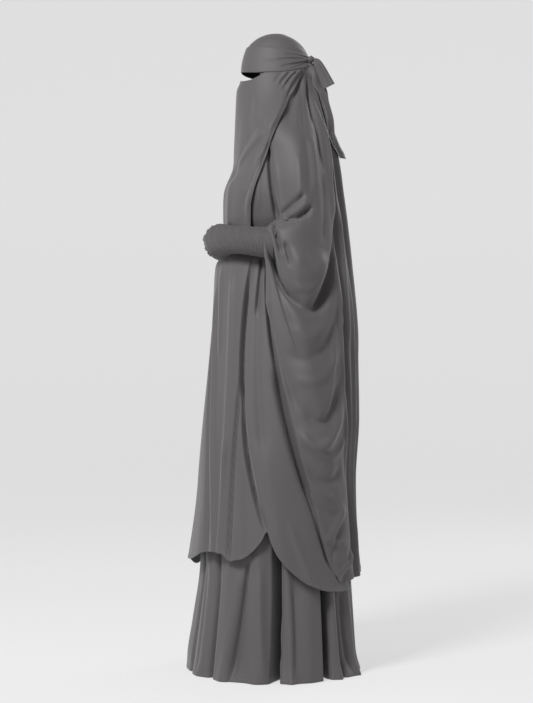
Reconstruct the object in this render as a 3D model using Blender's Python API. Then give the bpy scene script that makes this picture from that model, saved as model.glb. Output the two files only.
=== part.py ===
"""Two-piece jilbab, worn and hollow: an overhead piece with a hood, a tied band and face veil,
a cape that falls below the knee and two smocked cuffs, over a long gathered skirt.

Metres, +Z up, the front faces -Y and the wearer's left is +X. The origin is the inside top of
the hood. Every cloth piece is a wall worked out from rings about the vertical axis: a ring has a
front reach, a back reach and a half width, read from a table by height, and folds are added to it
as troughs and ridges along curved paths. Angles are in degrees, 0 at the front, 90 at the wearer's
left, 180 at the back. Heights in the tables are above the floor.
"""
import math

import bmesh
import bpy
import numpy as np
from mathutils import Matrix, Vector

# Driving dimensions
CROWN_HEIGHT = 1.720
WALL = 0.002
CUFF_WALL = 0.0025
SEAM_GAP = 0.0003
LAYER_GAP = 0.0010
BAND_GAP = 0.0013
ORIGIN_HEIGHT = CROWN_HEIGHT - WALL

# Rings of the outside drape: hood, shoulders, upper arms and the whole back
# height, front reach, back reach, half width
DRAPE_SECTIONS = (
    (1.7158, 0.034, 0.0245, 0.029),
    (1.7036, 0.0565, 0.049, 0.048),
    (1.6859, 0.0755, 0.0695, 0.0605),
    (1.6664, 0.0855, 0.0815, 0.069),
    (1.650, 0.0905, 0.0885, 0.0735),
    (1.630, 0.094, 0.094, 0.0765),
    (1.600, 0.096, 0.105, 0.082),
    (1.550, 0.099, 0.122, 0.100),
    (1.480, 0.108, 0.142, 0.145),
    (1.420, 0.115, 0.155, 0.192),
    (1.350, 0.120, 0.166, 0.226),
    (1.280, 0.130, 0.175, 0.248),
    (1.210, 0.138, 0.184, 0.266),
    (1.100, 0.152, 0.196, 0.281),
    (0.890, 0.180, 0.214, 0.292),
    (0.680, 0.205, 0.218, 0.298),
    (0.530, 0.220, 0.210, 0.300),
    (0.400, 0.235, 0.217, 0.303),
    (0.200, 0.252, 0.236, 0.308),
)

# Rings of the front panel, pressed in where the forearms cross it
FRONT_SECTIONS = (
    (1.540, 0.097, 0.095, 0.086),
    (1.450, 0.103, 0.115, 0.136),
    (1.391, 0.106, 0.125, 0.160),
    (1.350, 0.106, 0.130, 0.170),
    (1.282, 0.132, 0.135, 0.174),
    (1.2145, 0.134, 0.140, 0.164),
    (1.165, 0.118, 0.145, 0.152),
    (1.125, 0.122, 0.148, 0.156),
    (1.104, 0.151, 0.150, 0.168),
    (1.085, 0.165, 0.152, 0.178),
    (1.019, 0.173, 0.158, 0.200),
    (0.888, 0.183, 0.168, 0.224),
    (0.793, 0.192, 0.176, 0.236),
    (0.6765, 0.204, 0.184, 0.248),
    (0.546, 0.216, 0.190, 0.257),
    (0.455, 0.223, 0.196, 0.263),
    (0.370, 0.2326, 0.204, 0.269),
    (0.200, 0.254, 0.220, 0.279),
)

# Rings of the face veil, which hangs from the band over the nose and chest
VEIL_SECTIONS = (
    (1.640, 0.0960, 0.100, 0.080),
    (1.592, 0.0980, 0.104, 0.084),
    (1.563, 0.1080, 0.112, 0.092),
    (1.513, 0.1110, 0.120, 0.104),
    (1.450, 0.1130, 0.130, 0.122),
    (1.391, 0.1140, 0.135, 0.140),
    (1.356, 0.1130, 0.140, 0.150),
    (1.329, 0.1300, 0.142, 0.156),
    (1.282, 0.1430, 0.144, 0.162),
    (1.255, 0.1445, 0.145, 0.166),
    (1.150, 0.1430, 0.150, 0.166),
)

# Rings of the skirt from the waist to the floor
SKIRT_SECTIONS = (
    (1.000, 0.120, 0.110, 0.150),
    (0.850, 0.156, 0.150, 0.190),
    (0.680, 0.184, 0.168, 0.2235),
    (0.500, 0.202, 0.180, 0.2375),
    (0.283, 0.206, 0.200, 0.245),
    (0.133, 0.2255, 0.212, 0.257),
    (0.039, 0.240, 0.219, 0.266),
    (0.000, 0.242, 0.222, 0.270),
)

# Where the drape's left front edge runs, and how far it stands off the front panel there:
# 0 lies on the panel, 1 is the full width of the drape. The right edge mirrors it.
# height, angle, stand-off
DRAPE_EDGE = (
    (1.643, 52, 1.00),
    (1.600, 58, 1.00),
    (1.550, 66, 1.00),
    (1.500, 72, 0.90),
    (1.450, 78, 0.55),
    (1.420, 81, 0.35),
    (1.375, 84, 0.12),
    (1.320, 85, 0.10),
    (1.270, 88, 0.14),
    (1.225, 91, 0.30),
    (1.205, 92, 0.42),
    (1.188, 87, 0.62),
    (1.170, 83, 0.812),
    (1.140, 82, 0.842),
    (1.112, 82, 0.752),
    (1.090, 82, 0.53),
    (1.045, 82, 0.32),
    (0.989, 82, 0.28),
    (0.912, 84, 0.18),
    (0.825, 88, 0.12),
    (0.769, 90, 0.10),
    (0.654, 94.5, 0.10),
    (0.585, 98, 0.12),
    (0.476, 104, 0.14),
    (0.372, 112, 0.18),
    (0.296, 121, 0.24),
    (0.236, 128, 0.28),
)
EDGE_EASE = 0.095

# Side edges of the front panel, tucked under the drape
# height, angle
FRONT_EDGE = (
    (1.540, 88),
    (1.400, 104),
    (1.200, 108),
    (1.000, 108),
    (0.600, 122),
    (0.226, 146),
)

# Rear edge of the veil, from under the band down to the wrists
# height, angle
VEIL_EDGE = (
    (1.622, 140),
    (1.609, 138),
    (1.562, 118),
    (1.508, 105),
    (1.465, 93),
    (1.423, 85),
    (1.377, 80),
    (1.327, 74),
    (1.282, 69),
    (1.243, 66),
    (1.150, 64),
)

# Lower edges
# angle, height
FRONT_HEM = (
    (0, 0.297),
    (39, 0.300),
    (47, 0.322),
    (60, 0.313),
    (71, 0.324),
    (78, 0.354),
    (84, 0.385),
    (89, 0.340),
    (98, 0.285),
    (109, 0.249),
    (122, 0.231),
    (138, 0.226),
    (160, 0.226),
)
DRAPE_HEM = (
    (100, 0.262),
    (117, 0.238),
    (129, 0.233),
    (143, 0.252),
    (171, 0.266),
    (180, 0.268),
)

# Forehead band: upper and lower edge by angle, narrowing to the knot at the back
# angle, upper edge, lower edge
BAND_EDGES = (
    (0, 1.6820, 1.6125),
    (40, 1.6810, 1.6150),
    (75, 1.6750, 1.6165),
    (105, 1.6690, 1.6190),
    (140, 1.6600, 1.6260),
    (165, 1.6560, 1.6340),
    (180, 1.6550, 1.6350),
)
EYE_SLIT_ANGLE = 57
EYE_SLIT_DEPTH = 0.021

# Folds. Each follows a curve through a start, a pull and an end point (angle, height);
# depth is out (+) or in (-), reach is the half width of the fold, both in metres.
# start, pull, end, depth, reach
DRAPE_FOLDS = (
    ((87, 1.085), (103, 0.870), (134, 1.160), -0.024, 0.021),
    ((82, 1.120), (84, 0.960), (104, 0.800), 0.014, 0.017),
    ((84, 0.960), (92, 0.840), (110, 0.730), -0.013, 0.018),
    ((92, 0.860), (110, 0.760), (136, 1.020), -0.010, 0.020),
    ((86, 1.130), (108, 0.980), (127, 1.150), 0.010, 0.024),
    ((92, 0.770), (101, 0.610), (112, 0.390), -0.012, 0.012),
    ((93, 1.206), (101, 1.176), (109, 1.226), -0.011, 0.015),
    ((94, 1.210), (99, 1.225), (103, 1.290), -0.008, 0.015),
    ((98, 1.240), (106, 1.215), (112, 1.270), 0.009, 0.016),
    ((103, 0.640), (117, 0.575), (132, 0.730), 0.013, 0.020),
    ((106, 0.700), (118, 0.635), (129, 0.780), -0.013, 0.018),
    ((154, 1.280), (144, 0.950), (139, 0.480), -0.016, 0.016),
    ((134, 1.220), (134, 1.050), (130, 0.860), 0.010, 0.015),
    ((137, 0.460), (128, 0.390), (117, 0.350), 0.006, 0.011),
    ((149, 0.330), (136, 0.280), (125, 0.255), 0.006, 0.010),
    ((155, 1.595), (137, 1.500), (126, 1.330), -0.009, 0.012),
    ((138, 1.590), (125, 1.540), (117, 1.460), -0.006, 0.011),
    ((166, 1.595), (153, 1.500), (145, 1.300), -0.010, 0.013),
    ((146, 1.560), (133, 1.430), (128, 1.240), 0.008, 0.014),
    ((172, 1.540), (168, 1.000), (165, 0.300), 0.009, 0.020),
    ((180, 1.480), (180, 0.900), (180, 0.300), -0.011, 0.022),
    ((158, 1.000), (156, 0.600), (154, 0.290), 0.009, 0.020),
)
FRONT_FOLDS = (
    ((70, 1.060), (60.5, 0.720), (84, 0.380), -0.024, 0.011),
    ((29, 1.075), (42, 0.750), (51, 0.330), 0.008, 0.015),
    ((50, 1.080), (60, 0.740), (62, 0.340), -0.009, 0.013),
    ((59, 1.060), (52, 0.740), (74, 0.360), 0.009, 0.014),
    ((36, 0.640), (40, 0.470), (46, 0.320), -0.010, 0.010),
    ((76, 1.070), (76, 0.820), (93, 0.380), 0.009, 0.018),
    ((86, 0.860), (94, 0.560), (104, 0.280), -0.009, 0.014),
    ((8, 1.060), (6, 0.700), (11, 0.310), -0.007, 0.016),
)
VEIL_FOLDS = (
    ((70, 1.600), (62, 1.450), (38, 1.240), -0.008, 0.012),
    ((96, 1.600), (76, 1.450), (54, 1.230), -0.007, 0.011),
    ((46, 1.560), (42, 1.420), (22, 1.240), 0.006, 0.014),
    ((112, 1.610), (88, 1.470), (62, 1.250), 0.006, 0.010),
)

# Skirt folds: angle, depth at the hem, reach at the hem, height where the fold begins
SKIRT_FOLDS = (
    (0, 0.010, 0.024, 0.75),
    (21, -0.020, 0.017, 0.80),
    (38, 0.014, 0.020, 0.70),
    (50, -0.021, 0.014, 0.85),
    (68, -0.018, 0.015, 0.75),
    (90, -0.026, 0.016, 0.90),
    (100, 0.012, 0.018, 0.70),
    (123, -0.026, 0.017, 0.90),
    (137, 0.012, 0.018, 0.65),
    (150, -0.019, 0.017, 0.80),
    (172, -0.018, 0.018, 0.75),
    (-18, -0.018, 0.018, 0.80),
    (-41, -0.022, 0.016, 0.75),
    (-56, 0.012, 0.020, 0.70),
    (-72, -0.020, 0.016, 0.85),
    (-95, -0.025, 0.017, 0.90),
    (-110, 0.012, 0.018, 0.70),
    (-127, -0.022, 0.016, 0.80),
    (-156, -0.020, 0.018, 0.80),
)
SKIRT_TOP = 1.000
SKIRT_CLEARANCE = 0.0020
SKIRT_SEAMS = (90, -95)
WAISTBAND_HEIGHT = 0.035
WAISTBAND_WALL = 0.003

# Left cuff: centre line as a curve from the sleeve mouth to the wrist, radii along it
CUFF_START = (0.213, 0.000, 1.1375)
CUFF_PULL = (0.185, -0.128, 1.1560)
CUFF_END = (0.055, -0.163, 1.1530)
# share of the length, radius
CUFF_RADII = (
    (0.00, 0.0430),
    (0.25, 0.0380),
    (0.50, 0.0358),
    (0.75, 0.0400),
    (0.92, 0.0465),
    (1.00, 0.0450),
)
SMOCK_DEPTH = 0.0012
CUFF_CLEARANCE = 0.006

# Knot and ties at the back of the band, a little to the wearer's left
KNOT_RADII = (0.0115, 0.0095, 0.0110)
KNOT_HEIGHT = 1.6455
KNOT_ANGLE = 158
TIE_THICKNESS = 0.002
# distance behind the axis, height, half width of the strip
SHORT_TIE = (
    (0.1055, 1.6445, 0.0050),
    (0.1140, 1.6350, 0.0095),
    (0.1220, 1.6200, 0.0130),
    (0.1340, 1.5990, 0.0150),
    (0.1480, 1.5750, 0.0160),
)
SHORT_TIE_SIDE = 0.0385
SHORT_TIE_SWING = 0.008
# height, angle of the near edge, its stand-off from the drape, direction to the far edge, width
LONG_TIE = (
    (1.6350, 158, 0.0050, 205, 0.014),
    (1.6120, 158, 0.0040, 196, 0.032),
    (1.5850, 157, 0.0050, 203, 0.037),
    (1.5410, 158, 0.0065, 224, 0.038),
    (1.4860, 158, 0.0065, 233, 0.038),
    (1.4300, 162, 0.0055, 235, 0.038),
    (1.3800, 168, 0.0055, 234, 0.038),
)

# Mesh rows: heights down the middle of a panel, closer where it bends most
DRAPE_ROWS = (1.6437, 1.630, 1.610, 1.575, 1.535, 1.495, 1.455, 1.415, 1.370, 1.320, 1.275, 1.242,
              1.222, 1.207, 1.190, 1.170, 1.146, 1.120, 1.095, 1.070, 1.040, 1.010, 0.980, 0.945,
              0.910, 0.870, 0.825, 0.775, 0.725, 0.675, 0.620, 0.560, 0.490, 0.420, 0.350, 0.300,
              0.268)
FRONT_ROWS = (1.540, 1.480, 1.430, 1.390, 1.345, 1.295, 1.255, 1.225, 1.200, 1.176, 1.152, 1.130,
              1.110, 1.090, 1.065, 1.020, 0.950, 0.860, 0.770, 0.680, 0.590, 0.500, 0.430, 0.370,
              0.325, 0.297)
HOOD_ROWS = (1.7190, 1.7145, 1.7060, 1.6940, 1.6780, 1.6610, 1.6440)
# Mesh columns: shares of the way from the middle of the front panel to its edge, closer together
# at the deep fold, and the number of columns of the other pieces
FRONT_COLUMNS = (0.0, 0.09, 0.18, 0.255, 0.32, 0.375, 0.43, 0.48, 0.52, 0.55, 0.575, 0.595, 0.615,
                 0.64, 0.675, 0.73, 0.81, 0.90, 1.0)
DRAPE_COLUMNS = 38
DRAPE_CROWDING = 0.35
VEIL_GRID = (14, 25)
SKIRT_GRID = (9, 41)
HOOD_COLUMNS = 28
BAND_ROWS = 4
CUFF_GRID = (17, 14)
FOLD_STEPS = 12
SLOPE_STEP = 0.002

# Finishes: base colour, roughness
CREPE = ((0.165, 0.155, 0.160, 1.0), 0.62)
SMOCKED = ((0.110, 0.106, 0.108, 1.0), 0.75)


def clear_scene():
    for item in list(bpy.data.objects):
        bpy.data.objects.remove(item, do_unlink=True)


def smooth_lookup(known, values, wanted):
    """Read a table at the wanted places through a smooth curve that never overshoots its rows."""
    known = np.asarray(known, dtype=float)
    values = np.asarray(values, dtype=float)
    order = np.argsort(known)
    known = known[order]
    values = values[order]
    gaps = np.diff(known)
    slopes = np.diff(values) / gaps
    tangents = np.zeros_like(values)
    tangents[0] = slopes[0]
    tangents[-1] = slopes[-1]
    before = slopes[:-1]
    after = slopes[1:]
    same_way = before * after > 0
    mean = np.where(same_way, 2 * before * after / np.where(same_way, before + after, 1.0), 0.0)
    tangents[1:-1] = mean
    wanted = np.clip(np.asarray(wanted, dtype=float), known[0], known[-1])
    index = np.clip(np.searchsorted(known, wanted) - 1, 0, len(gaps) - 1)
    share = (wanted - known[index]) / gaps[index]
    square = share * share
    cube = square * share
    return ((2 * cube - 3 * square + 1) * values[index]
            + (cube - 2 * square + share) * gaps[index] * tangents[index]
            + (3 * square - 2 * cube) * values[index + 1]
            + (cube - square) * gaps[index] * tangents[index + 1])


def column(table, number):
    return [row[number] for row in table]


def ease(share):
    share = np.clip(share, 0.0, 1.0)
    return share * share * (3 - 2 * share)


def ring_radius(sections, height, angle):
    """Distance from the vertical axis to a two-radius oval at an angle."""
    heights = column(sections, 0)
    front = smooth_lookup(heights, column(sections, 1), height)
    back = smooth_lookup(heights, column(sections, 2), height)
    half = smooth_lookup(heights, column(sections, 3), height)
    turn = np.radians(angle)
    reach = np.where(np.cos(turn) > 0, front, back)
    return 1.0 / np.sqrt((np.sin(turn) / half) ** 2 + (np.cos(turn) / reach) ** 2)


def fold_relief(folds, angle, height, radius):
    """Sum of the folds at an angle, each a soft bell across its curve that fades at both ends."""
    relief = np.zeros_like(angle)
    steps = np.linspace(0.0, 1.0, FOLD_STEPS + 1)
    metres_per_degree = (radius * math.pi / 180)[..., None]
    for start, pull, end, depth, reach in folds:
        path_angle = (1 - steps) ** 2 * start[0] + 2 * steps * (1 - steps) * pull[0] + steps ** 2 * end[0]
        path_height = (1 - steps) ** 2 * start[1] + 2 * steps * (1 - steps) * pull[1] + steps ** 2 * end[1]
        across = (angle[..., None] - path_angle[:-1]) * metres_per_degree
        along = height[..., None] - path_height[:-1]
        run_across = np.diff(path_angle) * metres_per_degree
        run_along = np.diff(path_height)
        reached = (across * run_across + along * run_along) / (run_across ** 2 + run_along ** 2)
        reached = np.clip(reached, 0.0, 1.0)
        distance = np.hypot(across - reached * run_across, along - reached * run_along)
        nearest = np.argmin(distance, axis=-1)
        closest = np.min(distance, axis=-1)
        share = (nearest + np.take_along_axis(reached, nearest[..., None], axis=-1)[..., 0]) / FOLD_STEPS
        fade = ease(np.minimum(share, 1 - share) / 0.22 + 0.12)
        relief += depth * fade * np.exp(-(closest / reach) ** 2)
    return relief


def both_sides(folds, angle, height, radius):
    """Folds tabled for the left side, with like ones on the right a little lower and softer."""
    left = fold_relief(folds, angle, height, radius)
    right = fold_relief(folds, -angle, height + 0.012, radius)
    return left + 0.85 * right


def front_radius(height, angle):
    base = ring_radius(FRONT_SECTIONS, height, angle)
    return base + both_sides(FRONT_FOLDS, angle, height, base)


def wrapped(angle):
    """An angle as -180 to 180, so that left and right can be told apart."""
    return (np.asarray(angle, dtype=float) + 180.0) % 360.0 - 180.0


def wall_across(surface, height, angle):
    """Thickness of a wall measured towards the axis, which grows where the cloth slopes."""
    radius = surface(height, angle)
    down = (surface(height + SLOPE_STEP, angle) - surface(height - SLOPE_STEP, angle)) / (2 * SLOPE_STEP)
    turn = np.degrees(SLOPE_STEP / radius)
    across = (surface(height, angle + turn) - surface(height, angle - turn)) / (2 * SLOPE_STEP)
    return WALL * np.sqrt(1 + down ** 2 + across ** 2)


def drape_radius(height, angle):
    """The outside drape, drawn in towards the front panel along its front edges."""
    side = np.abs(wrapped(angle))
    full = ring_radius(DRAPE_SECTIONS, height, angle)
    panel = front_radius(height, wrapped(angle))
    heights = column(DRAPE_EDGE, 0)
    edge = smooth_lookup(heights, column(DRAPE_EDGE, 1), height)
    stand_off = smooth_lookup(heights, column(DRAPE_EDGE, 2), height)
    from_edge = np.radians(side - edge) * full
    opened = stand_off + (1 - stand_off) * ease(from_edge / EDGE_EASE)
    blended = panel + (full - panel) * opened
    relief = fold_relief(DRAPE_FOLDS, side, height, full)
    softened = np.where(wrapped(angle) < 0, 0.85, 1.0)
    near_edge = 0.35 + 0.65 * ease(from_edge / 0.04)
    lowest = panel + 1.1 * WALL + LAYER_GAP / 2
    body = height < FRONT_SECTIONS[0][0]
    shaped = blended + relief * softened * near_edge
    return np.where(body, np.maximum(shaped, lowest), shaped)


def veil_radius(height, angle):
    base = ring_radius(VEIL_SECTIONS, height, angle)
    base = base + both_sides(VEIL_FOLDS, angle, height, base)
    under = drape_radius(height, angle)
    edge = smooth_lookup(column(DRAPE_EDGE, 0), column(DRAPE_EDGE, 1), height)
    over_drape = ease((np.abs(angle) - edge + 26) / 14)
    lowest = np.where(height > FRONT_SECTIONS[0][0], 0.0, front_radius(height, angle))
    lowest = np.maximum(lowest, under * over_drape)
    clearance = np.maximum(wall_across(drape_radius, height, angle), 1.5 * WALL) + 3 * LAYER_GAP
    rear = smooth_lookup(column(VEIL_EDGE, 0), column(VEIL_EDGE, 1), height)
    to_edge = np.radians(rear - np.abs(angle)) * base
    lift = 0.006 * np.exp(-(to_edge / 0.016) ** 2) * ease((1.60 - height) / 0.08)
    return np.maximum(base, lowest + clearance) + lift


def skirt_radius(height, angle):
    base = ring_radius(SKIRT_SECTIONS, height, angle)
    relief = np.zeros_like(base)
    for centre, depth, reach, start in SKIRT_FOLDS:
        away = np.radians(wrapped(angle - centre)) * base
        growth = ease((start - height) / start)
        relief += depth * growth * np.exp(-(away / reach) ** 2)
    side = wrapped(angle)
    inside_front = front_radius(height, side) - 1.3 * WALL - SKIRT_CLEARANCE
    covered = (height > FRONT_HEM[0][1]) & (height < 0.9) & (np.abs(side) < 110)
    return np.where(covered, np.minimum(base + relief, inside_front), base + relief)


def to_point(radius, angle, height):
    turn = np.radians(angle)
    return np.stack([radius * np.sin(turn), -radius * np.cos(turn), height - ORIGIN_HEIGHT], axis=-1)


def cloth_material(name, finish):
    material = bpy.data.materials.new(name)
    material.use_nodes = True
    shader = material.node_tree.nodes["Principled BSDF"]
    shader.inputs["Base Color"].default_value = finish[0]
    shader.inputs["Roughness"].default_value = finish[1]
    shader.inputs["Metallic"].default_value = 0.0
    return material


def add_object(name, mesh_data, finish):
    mesh = bpy.data.meshes.new(name)
    mesh_data.to_mesh(mesh)
    mesh_data.free()
    mesh.shade_smooth()
    mesh.materials.append(cloth_material(name + "_cloth", finish))
    item = bpy.data.objects.new(name, mesh)
    bpy.context.scene.collection.objects.link(item)
    return item


def skin(points, closed, flip=False):
    """A bmesh sheet through rows of points, joined round when closed, facing outwards."""
    sheet = bmesh.new()
    rows = [[sheet.verts.new(point) for point in row] for row in points]
    count = len(rows[0])
    for upper, lower in zip(rows, rows[1:]):
        for place in range(count if closed else count - 1):
            after = (place + 1) % count
            corners = (upper[place], lower[place], lower[after], upper[after])
            sheet.faces.new(corners[::-1] if flip else corners)
    return sheet, rows


def thicken(item, thickness):
    wall = item.modifiers.new("wall", "SOLIDIFY")
    wall.thickness = thickness
    wall.offset = -1.0
    wall.use_rim = True
    wall.use_quality_normals = True
    return item


def cloth_wall(name, points, closed=False, thickness=WALL, finish=CREPE):
    sheet, _ = skin(points, closed)
    return thicken(add_object(name, sheet, finish), thickness)


def rows_between(top, bottom, count):
    """Even row heights from top to bottom at every column."""
    share = np.linspace(0.0, 1.0, count)[:, None]
    return top + (bottom - top) * share


def row_shares(heights):
    """Rows as shares of the way from the first height down to the last."""
    rows = np.array(heights)
    return (rows[0] - rows) / (rows[0] - rows[-1])


def hem_height(table, angle):
    return smooth_lookup(column(table, 0), column(table, 1), np.abs(wrapped(angle)))


def make_hood():
    """The dome over the head, from its top down to the seam under the band."""
    heights = np.array(HOOD_ROWS)
    angles = np.linspace(0.0, 360.0, HOOD_COLUMNS, endpoint=False)
    height = heights[:, None] + np.zeros_like(angles)
    angle = angles[None, :] + np.zeros_like(height)
    radius = hood_radius(height, angle)
    sheet, rows = skin(to_point(radius, angle, height), True)
    top = sheet.verts.new((0.0, 0.0, CROWN_HEIGHT - ORIGIN_HEIGHT))
    for place in range(HOOD_COLUMNS):
        sheet.faces.new((top, rows[0][place], rows[0][(place + 1) % HOOD_COLUMNS]))
    thicken(add_object("hood_crown", sheet, CREPE), WALL)


def hood_radius(height, angle):
    """The dome rounds off to nothing at the crown."""
    lowest_row = DRAPE_SECTIONS[0][0]
    rounding = np.sqrt(np.clip((CROWN_HEIGHT - height) / (CROWN_HEIGHT - lowest_row), 0.0, 1.0))
    return ring_radius(DRAPE_SECTIONS, height, angle) * rounding


def make_band():
    """The tied band round the forehead, which lies on the hood and the top of the drape."""
    angles = np.linspace(0.0, 360.0, HOOD_COLUMNS, endpoint=False)
    side = np.abs(wrapped(angles))
    upper = smooth_lookup(column(BAND_EDGES, 0), column(BAND_EDGES, 1), side)
    lower = smooth_lookup(column(BAND_EDGES, 0), column(BAND_EDGES, 2), side)
    height = rows_between(upper, lower, BAND_ROWS)
    angle = angles[None, :] + np.zeros_like(height)
    radius = hood_radius(height, angle) + WALL + BAND_GAP
    cloth_wall("headband", to_point(radius, angle, height), closed=True)


def make_drape():
    """Back panel with the shoulders and arm drapes, one wall from edge to edge round the back."""
    share_down = row_shares(DRAPE_ROWS)
    top = HOOD_ROWS[-1] - 2 * SEAM_GAP
    edge_height = top + (DRAPE_EDGE[-1][0] - top) * share_down
    edge = smooth_lookup(column(DRAPE_EDGE, 0), column(DRAPE_EDGE, 1), edge_height)
    even = np.linspace(0.0, 1.0, DRAPE_COLUMNS)
    share_round = even - DRAPE_CROWDING * np.sin(2 * math.pi * even) / (2 * math.pi)
    angle = edge[:, None] + (360.0 - 2 * edge[:, None]) * share_round
    height = top + (hem_height(DRAPE_HEM, angle) - top) * share_down[:, None]
    radius = drape_radius(height, angle)
    cloth_wall("cape_back", to_point(radius, angle, height))


def make_front():
    """Front panel from under the chin to below the knee, its sides tucked under the drape."""
    share_down = row_shares(FRONT_ROWS)
    top = FRONT_EDGE[0][0]
    edge_height = top + (FRONT_EDGE[-1][0] - top) * share_down
    edge = smooth_lookup(column(FRONT_EDGE, 0), column(FRONT_EDGE, 1), edge_height)
    half = np.array(FRONT_COLUMNS)
    angle = edge[:, None] * np.concatenate([-half[:0:-1], half])
    height = top + (hem_height(FRONT_HEM, angle) - top) * share_down[:, None]
    radius = front_radius(height, angle)
    under_veil = CUFF_CLEARANCE + WALL + 3 * LAYER_GAP
    cloth_wall("cape_front", clear_of_cuffs(to_point(radius, angle, height), under_veil))


def make_veil():
    rows, columns = VEIL_GRID
    share_down = np.linspace(0.0, 1.0, rows)
    edge_top = VEIL_EDGE[0][0]
    edge_bottom = VEIL_EDGE[-1][0]
    edge_height = edge_top + (edge_bottom - edge_top) * share_down
    edge = smooth_lookup(column(VEIL_EDGE, 0), column(VEIL_EDGE, 1), edge_height)
    angle = edge[:, None] * np.linspace(-1.0, 1.0, columns)
    side = np.abs(angle)
    band_edge = smooth_lookup(column(BAND_EDGES, 0), column(BAND_EDGES, 2), side)
    slit = EYE_SLIT_DEPTH * (1 - ease(side / EYE_SLIT_ANGLE))
    top = band_edge - SEAM_GAP - slit
    height = top + (edge_bottom - top) * share_down[:, None]
    radius = veil_radius(height, angle)
    cloth_wall("face_veil", clear_of_cuffs(to_point(radius, angle, height), CUFF_CLEARANCE))


def make_skirt():
    """Two gathered panels sewn at the sides, under an elastic waistband."""
    rows, columns = SKIRT_GRID
    left, right = SKIRT_SEAMS
    half_gap = math.degrees(SEAM_GAP / SKIRT_SECTIONS[0][3])
    spans = {
        "skirt_front": (right + half_gap, left - half_gap),
        "skirt_back": (left + half_gap, 360 + right - half_gap),
    }
    for name, (first, last) in spans.items():
        angle = np.linspace(first, last, columns)[None, :] + np.zeros((rows, 1))
        height = rows_between(np.full(columns, SKIRT_TOP), np.zeros(columns), rows)
        cloth_wall(name, to_point(skirt_radius(height, angle), angle, height))
    angles = np.linspace(0.0, 360.0, HOOD_COLUMNS, endpoint=False)
    height = rows_between(np.full(HOOD_COLUMNS, SKIRT_TOP + SEAM_GAP + WAISTBAND_HEIGHT),
                          np.full(HOOD_COLUMNS, SKIRT_TOP + SEAM_GAP), 3)
    angle = angles[None, :] + np.zeros_like(height)
    radius = ring_radius(SKIRT_SECTIONS, np.full_like(height, SKIRT_TOP), angle)
    cloth_wall("skirt_waistband", to_point(radius, angle, height), True, WAISTBAND_WALL)


def cuff_line(count):
    """Centre points of the left cuff from the sleeve mouth to the wrist."""
    share = np.linspace(0.0, 1.0, count)[:, None]
    start = np.array(CUFF_START)
    pull = np.array(CUFF_PULL)
    end = np.array(CUFF_END)
    line = (1 - share) ** 2 * start + 2 * share * (1 - share) * pull + share ** 2 * end
    return line - np.array([0.0, 0.0, ORIGIN_HEIGHT])


def clear_of_cuffs(points, clearance):
    """Press cloth aside where it would come nearer to a cuff than the clearance."""
    line = cuff_line(33)
    radii = smooth_lookup(column(CUFF_RADII, 0), column(CUFF_RADII, 1), np.linspace(0, 1, len(line)))
    pressed = points.copy()
    for side in (1.0, -1.0):
        centres = line * np.array([side, 1.0, 1.0])
        offsets = pressed[..., None, :] - centres
        distance = np.linalg.norm(offsets, axis=-1) - radii
        nearest = np.argmin(distance, axis=-1)
        closest = np.min(distance, axis=-1)
        centre = centres[nearest]
        inward = -centre.copy()
        inward[..., 2] = 0.0
        inward /= np.linalg.norm(inward, axis=-1, keepdims=True)
        needed = np.clip(clearance - closest, 0.0, None)
        pressed = pressed + inward * needed[..., None]
    return pressed


def make_cuff(name, side):
    """A smocked tube: gathered ribs stand out of its outer points over a plain inside."""
    rows, columns = CUFF_GRID
    line = cuff_line(rows) * np.array([side, 1.0, 1.0])
    radii = smooth_lookup(column(CUFF_RADII, 0), column(CUFF_RADII, 1), np.linspace(0, 1, rows))
    along = np.gradient(line, axis=0)
    along /= np.linalg.norm(along, axis=1, keepdims=True)
    across = np.cross(along, (0.0, 0.0, 1.0))
    across /= np.linalg.norm(across, axis=1, keepdims=True)
    upward = np.cross(across, along)
    turn = np.radians(np.linspace(0.0, 360.0, columns, endpoint=False))
    spokes = across[:, None, :] * np.cos(turn)[None, :, None] + upward[:, None, :] * np.sin(turn)[None, :, None]
    ribs = SMOCK_DEPTH * (np.arange(rows) % 2)[:, None, None]
    plain = radii[:, None, None] - CUFF_WALL
    outside = line[:, None, :] + spokes * (radii[:, None, None] - SMOCK_DEPTH + ribs)
    inside = line[:, None, :] + spokes * plain
    tube = np.concatenate([outside, inside[::-1]], axis=0)
    tube = np.concatenate([tube, tube[:1]], axis=0)
    sheet, _ = skin(tube, True, flip=True)
    bmesh.ops.remove_doubles(sheet, verts=sheet.verts, dist=0.00001)
    bmesh.ops.recalc_face_normals(sheet, faces=sheet.faces)
    add_object(name, sheet, SMOCKED)


def make_knot():
    """The small tight knot that closes the band, pinched round its middle."""
    knot = bmesh.new()
    bmesh.ops.create_uvsphere(knot, u_segments=14, v_segments=8, radius=1.0)
    band = float(hood_radius(np.array([KNOT_HEIGHT]), np.array([KNOT_ANGLE]))[0]) + WALL + BAND_GAP
    centre = to_point(band + KNOT_RADII[1], KNOT_ANGLE, KNOT_HEIGHT)
    turned = Matrix.Rotation(math.radians(KNOT_ANGLE - 180), 3, "Z")
    for vertex in knot.verts:
        pinch = 1 - 0.16 * math.exp(-(vertex.co.x / 0.30) ** 2)
        for axis in range(3):
            vertex.co[axis] *= KNOT_RADII[axis] * (pinch if axis != 1 else 1.0)
        vertex.co = turned @ vertex.co + Vector(centre)
    add_object("band_knot", knot, CREPE)


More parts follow.
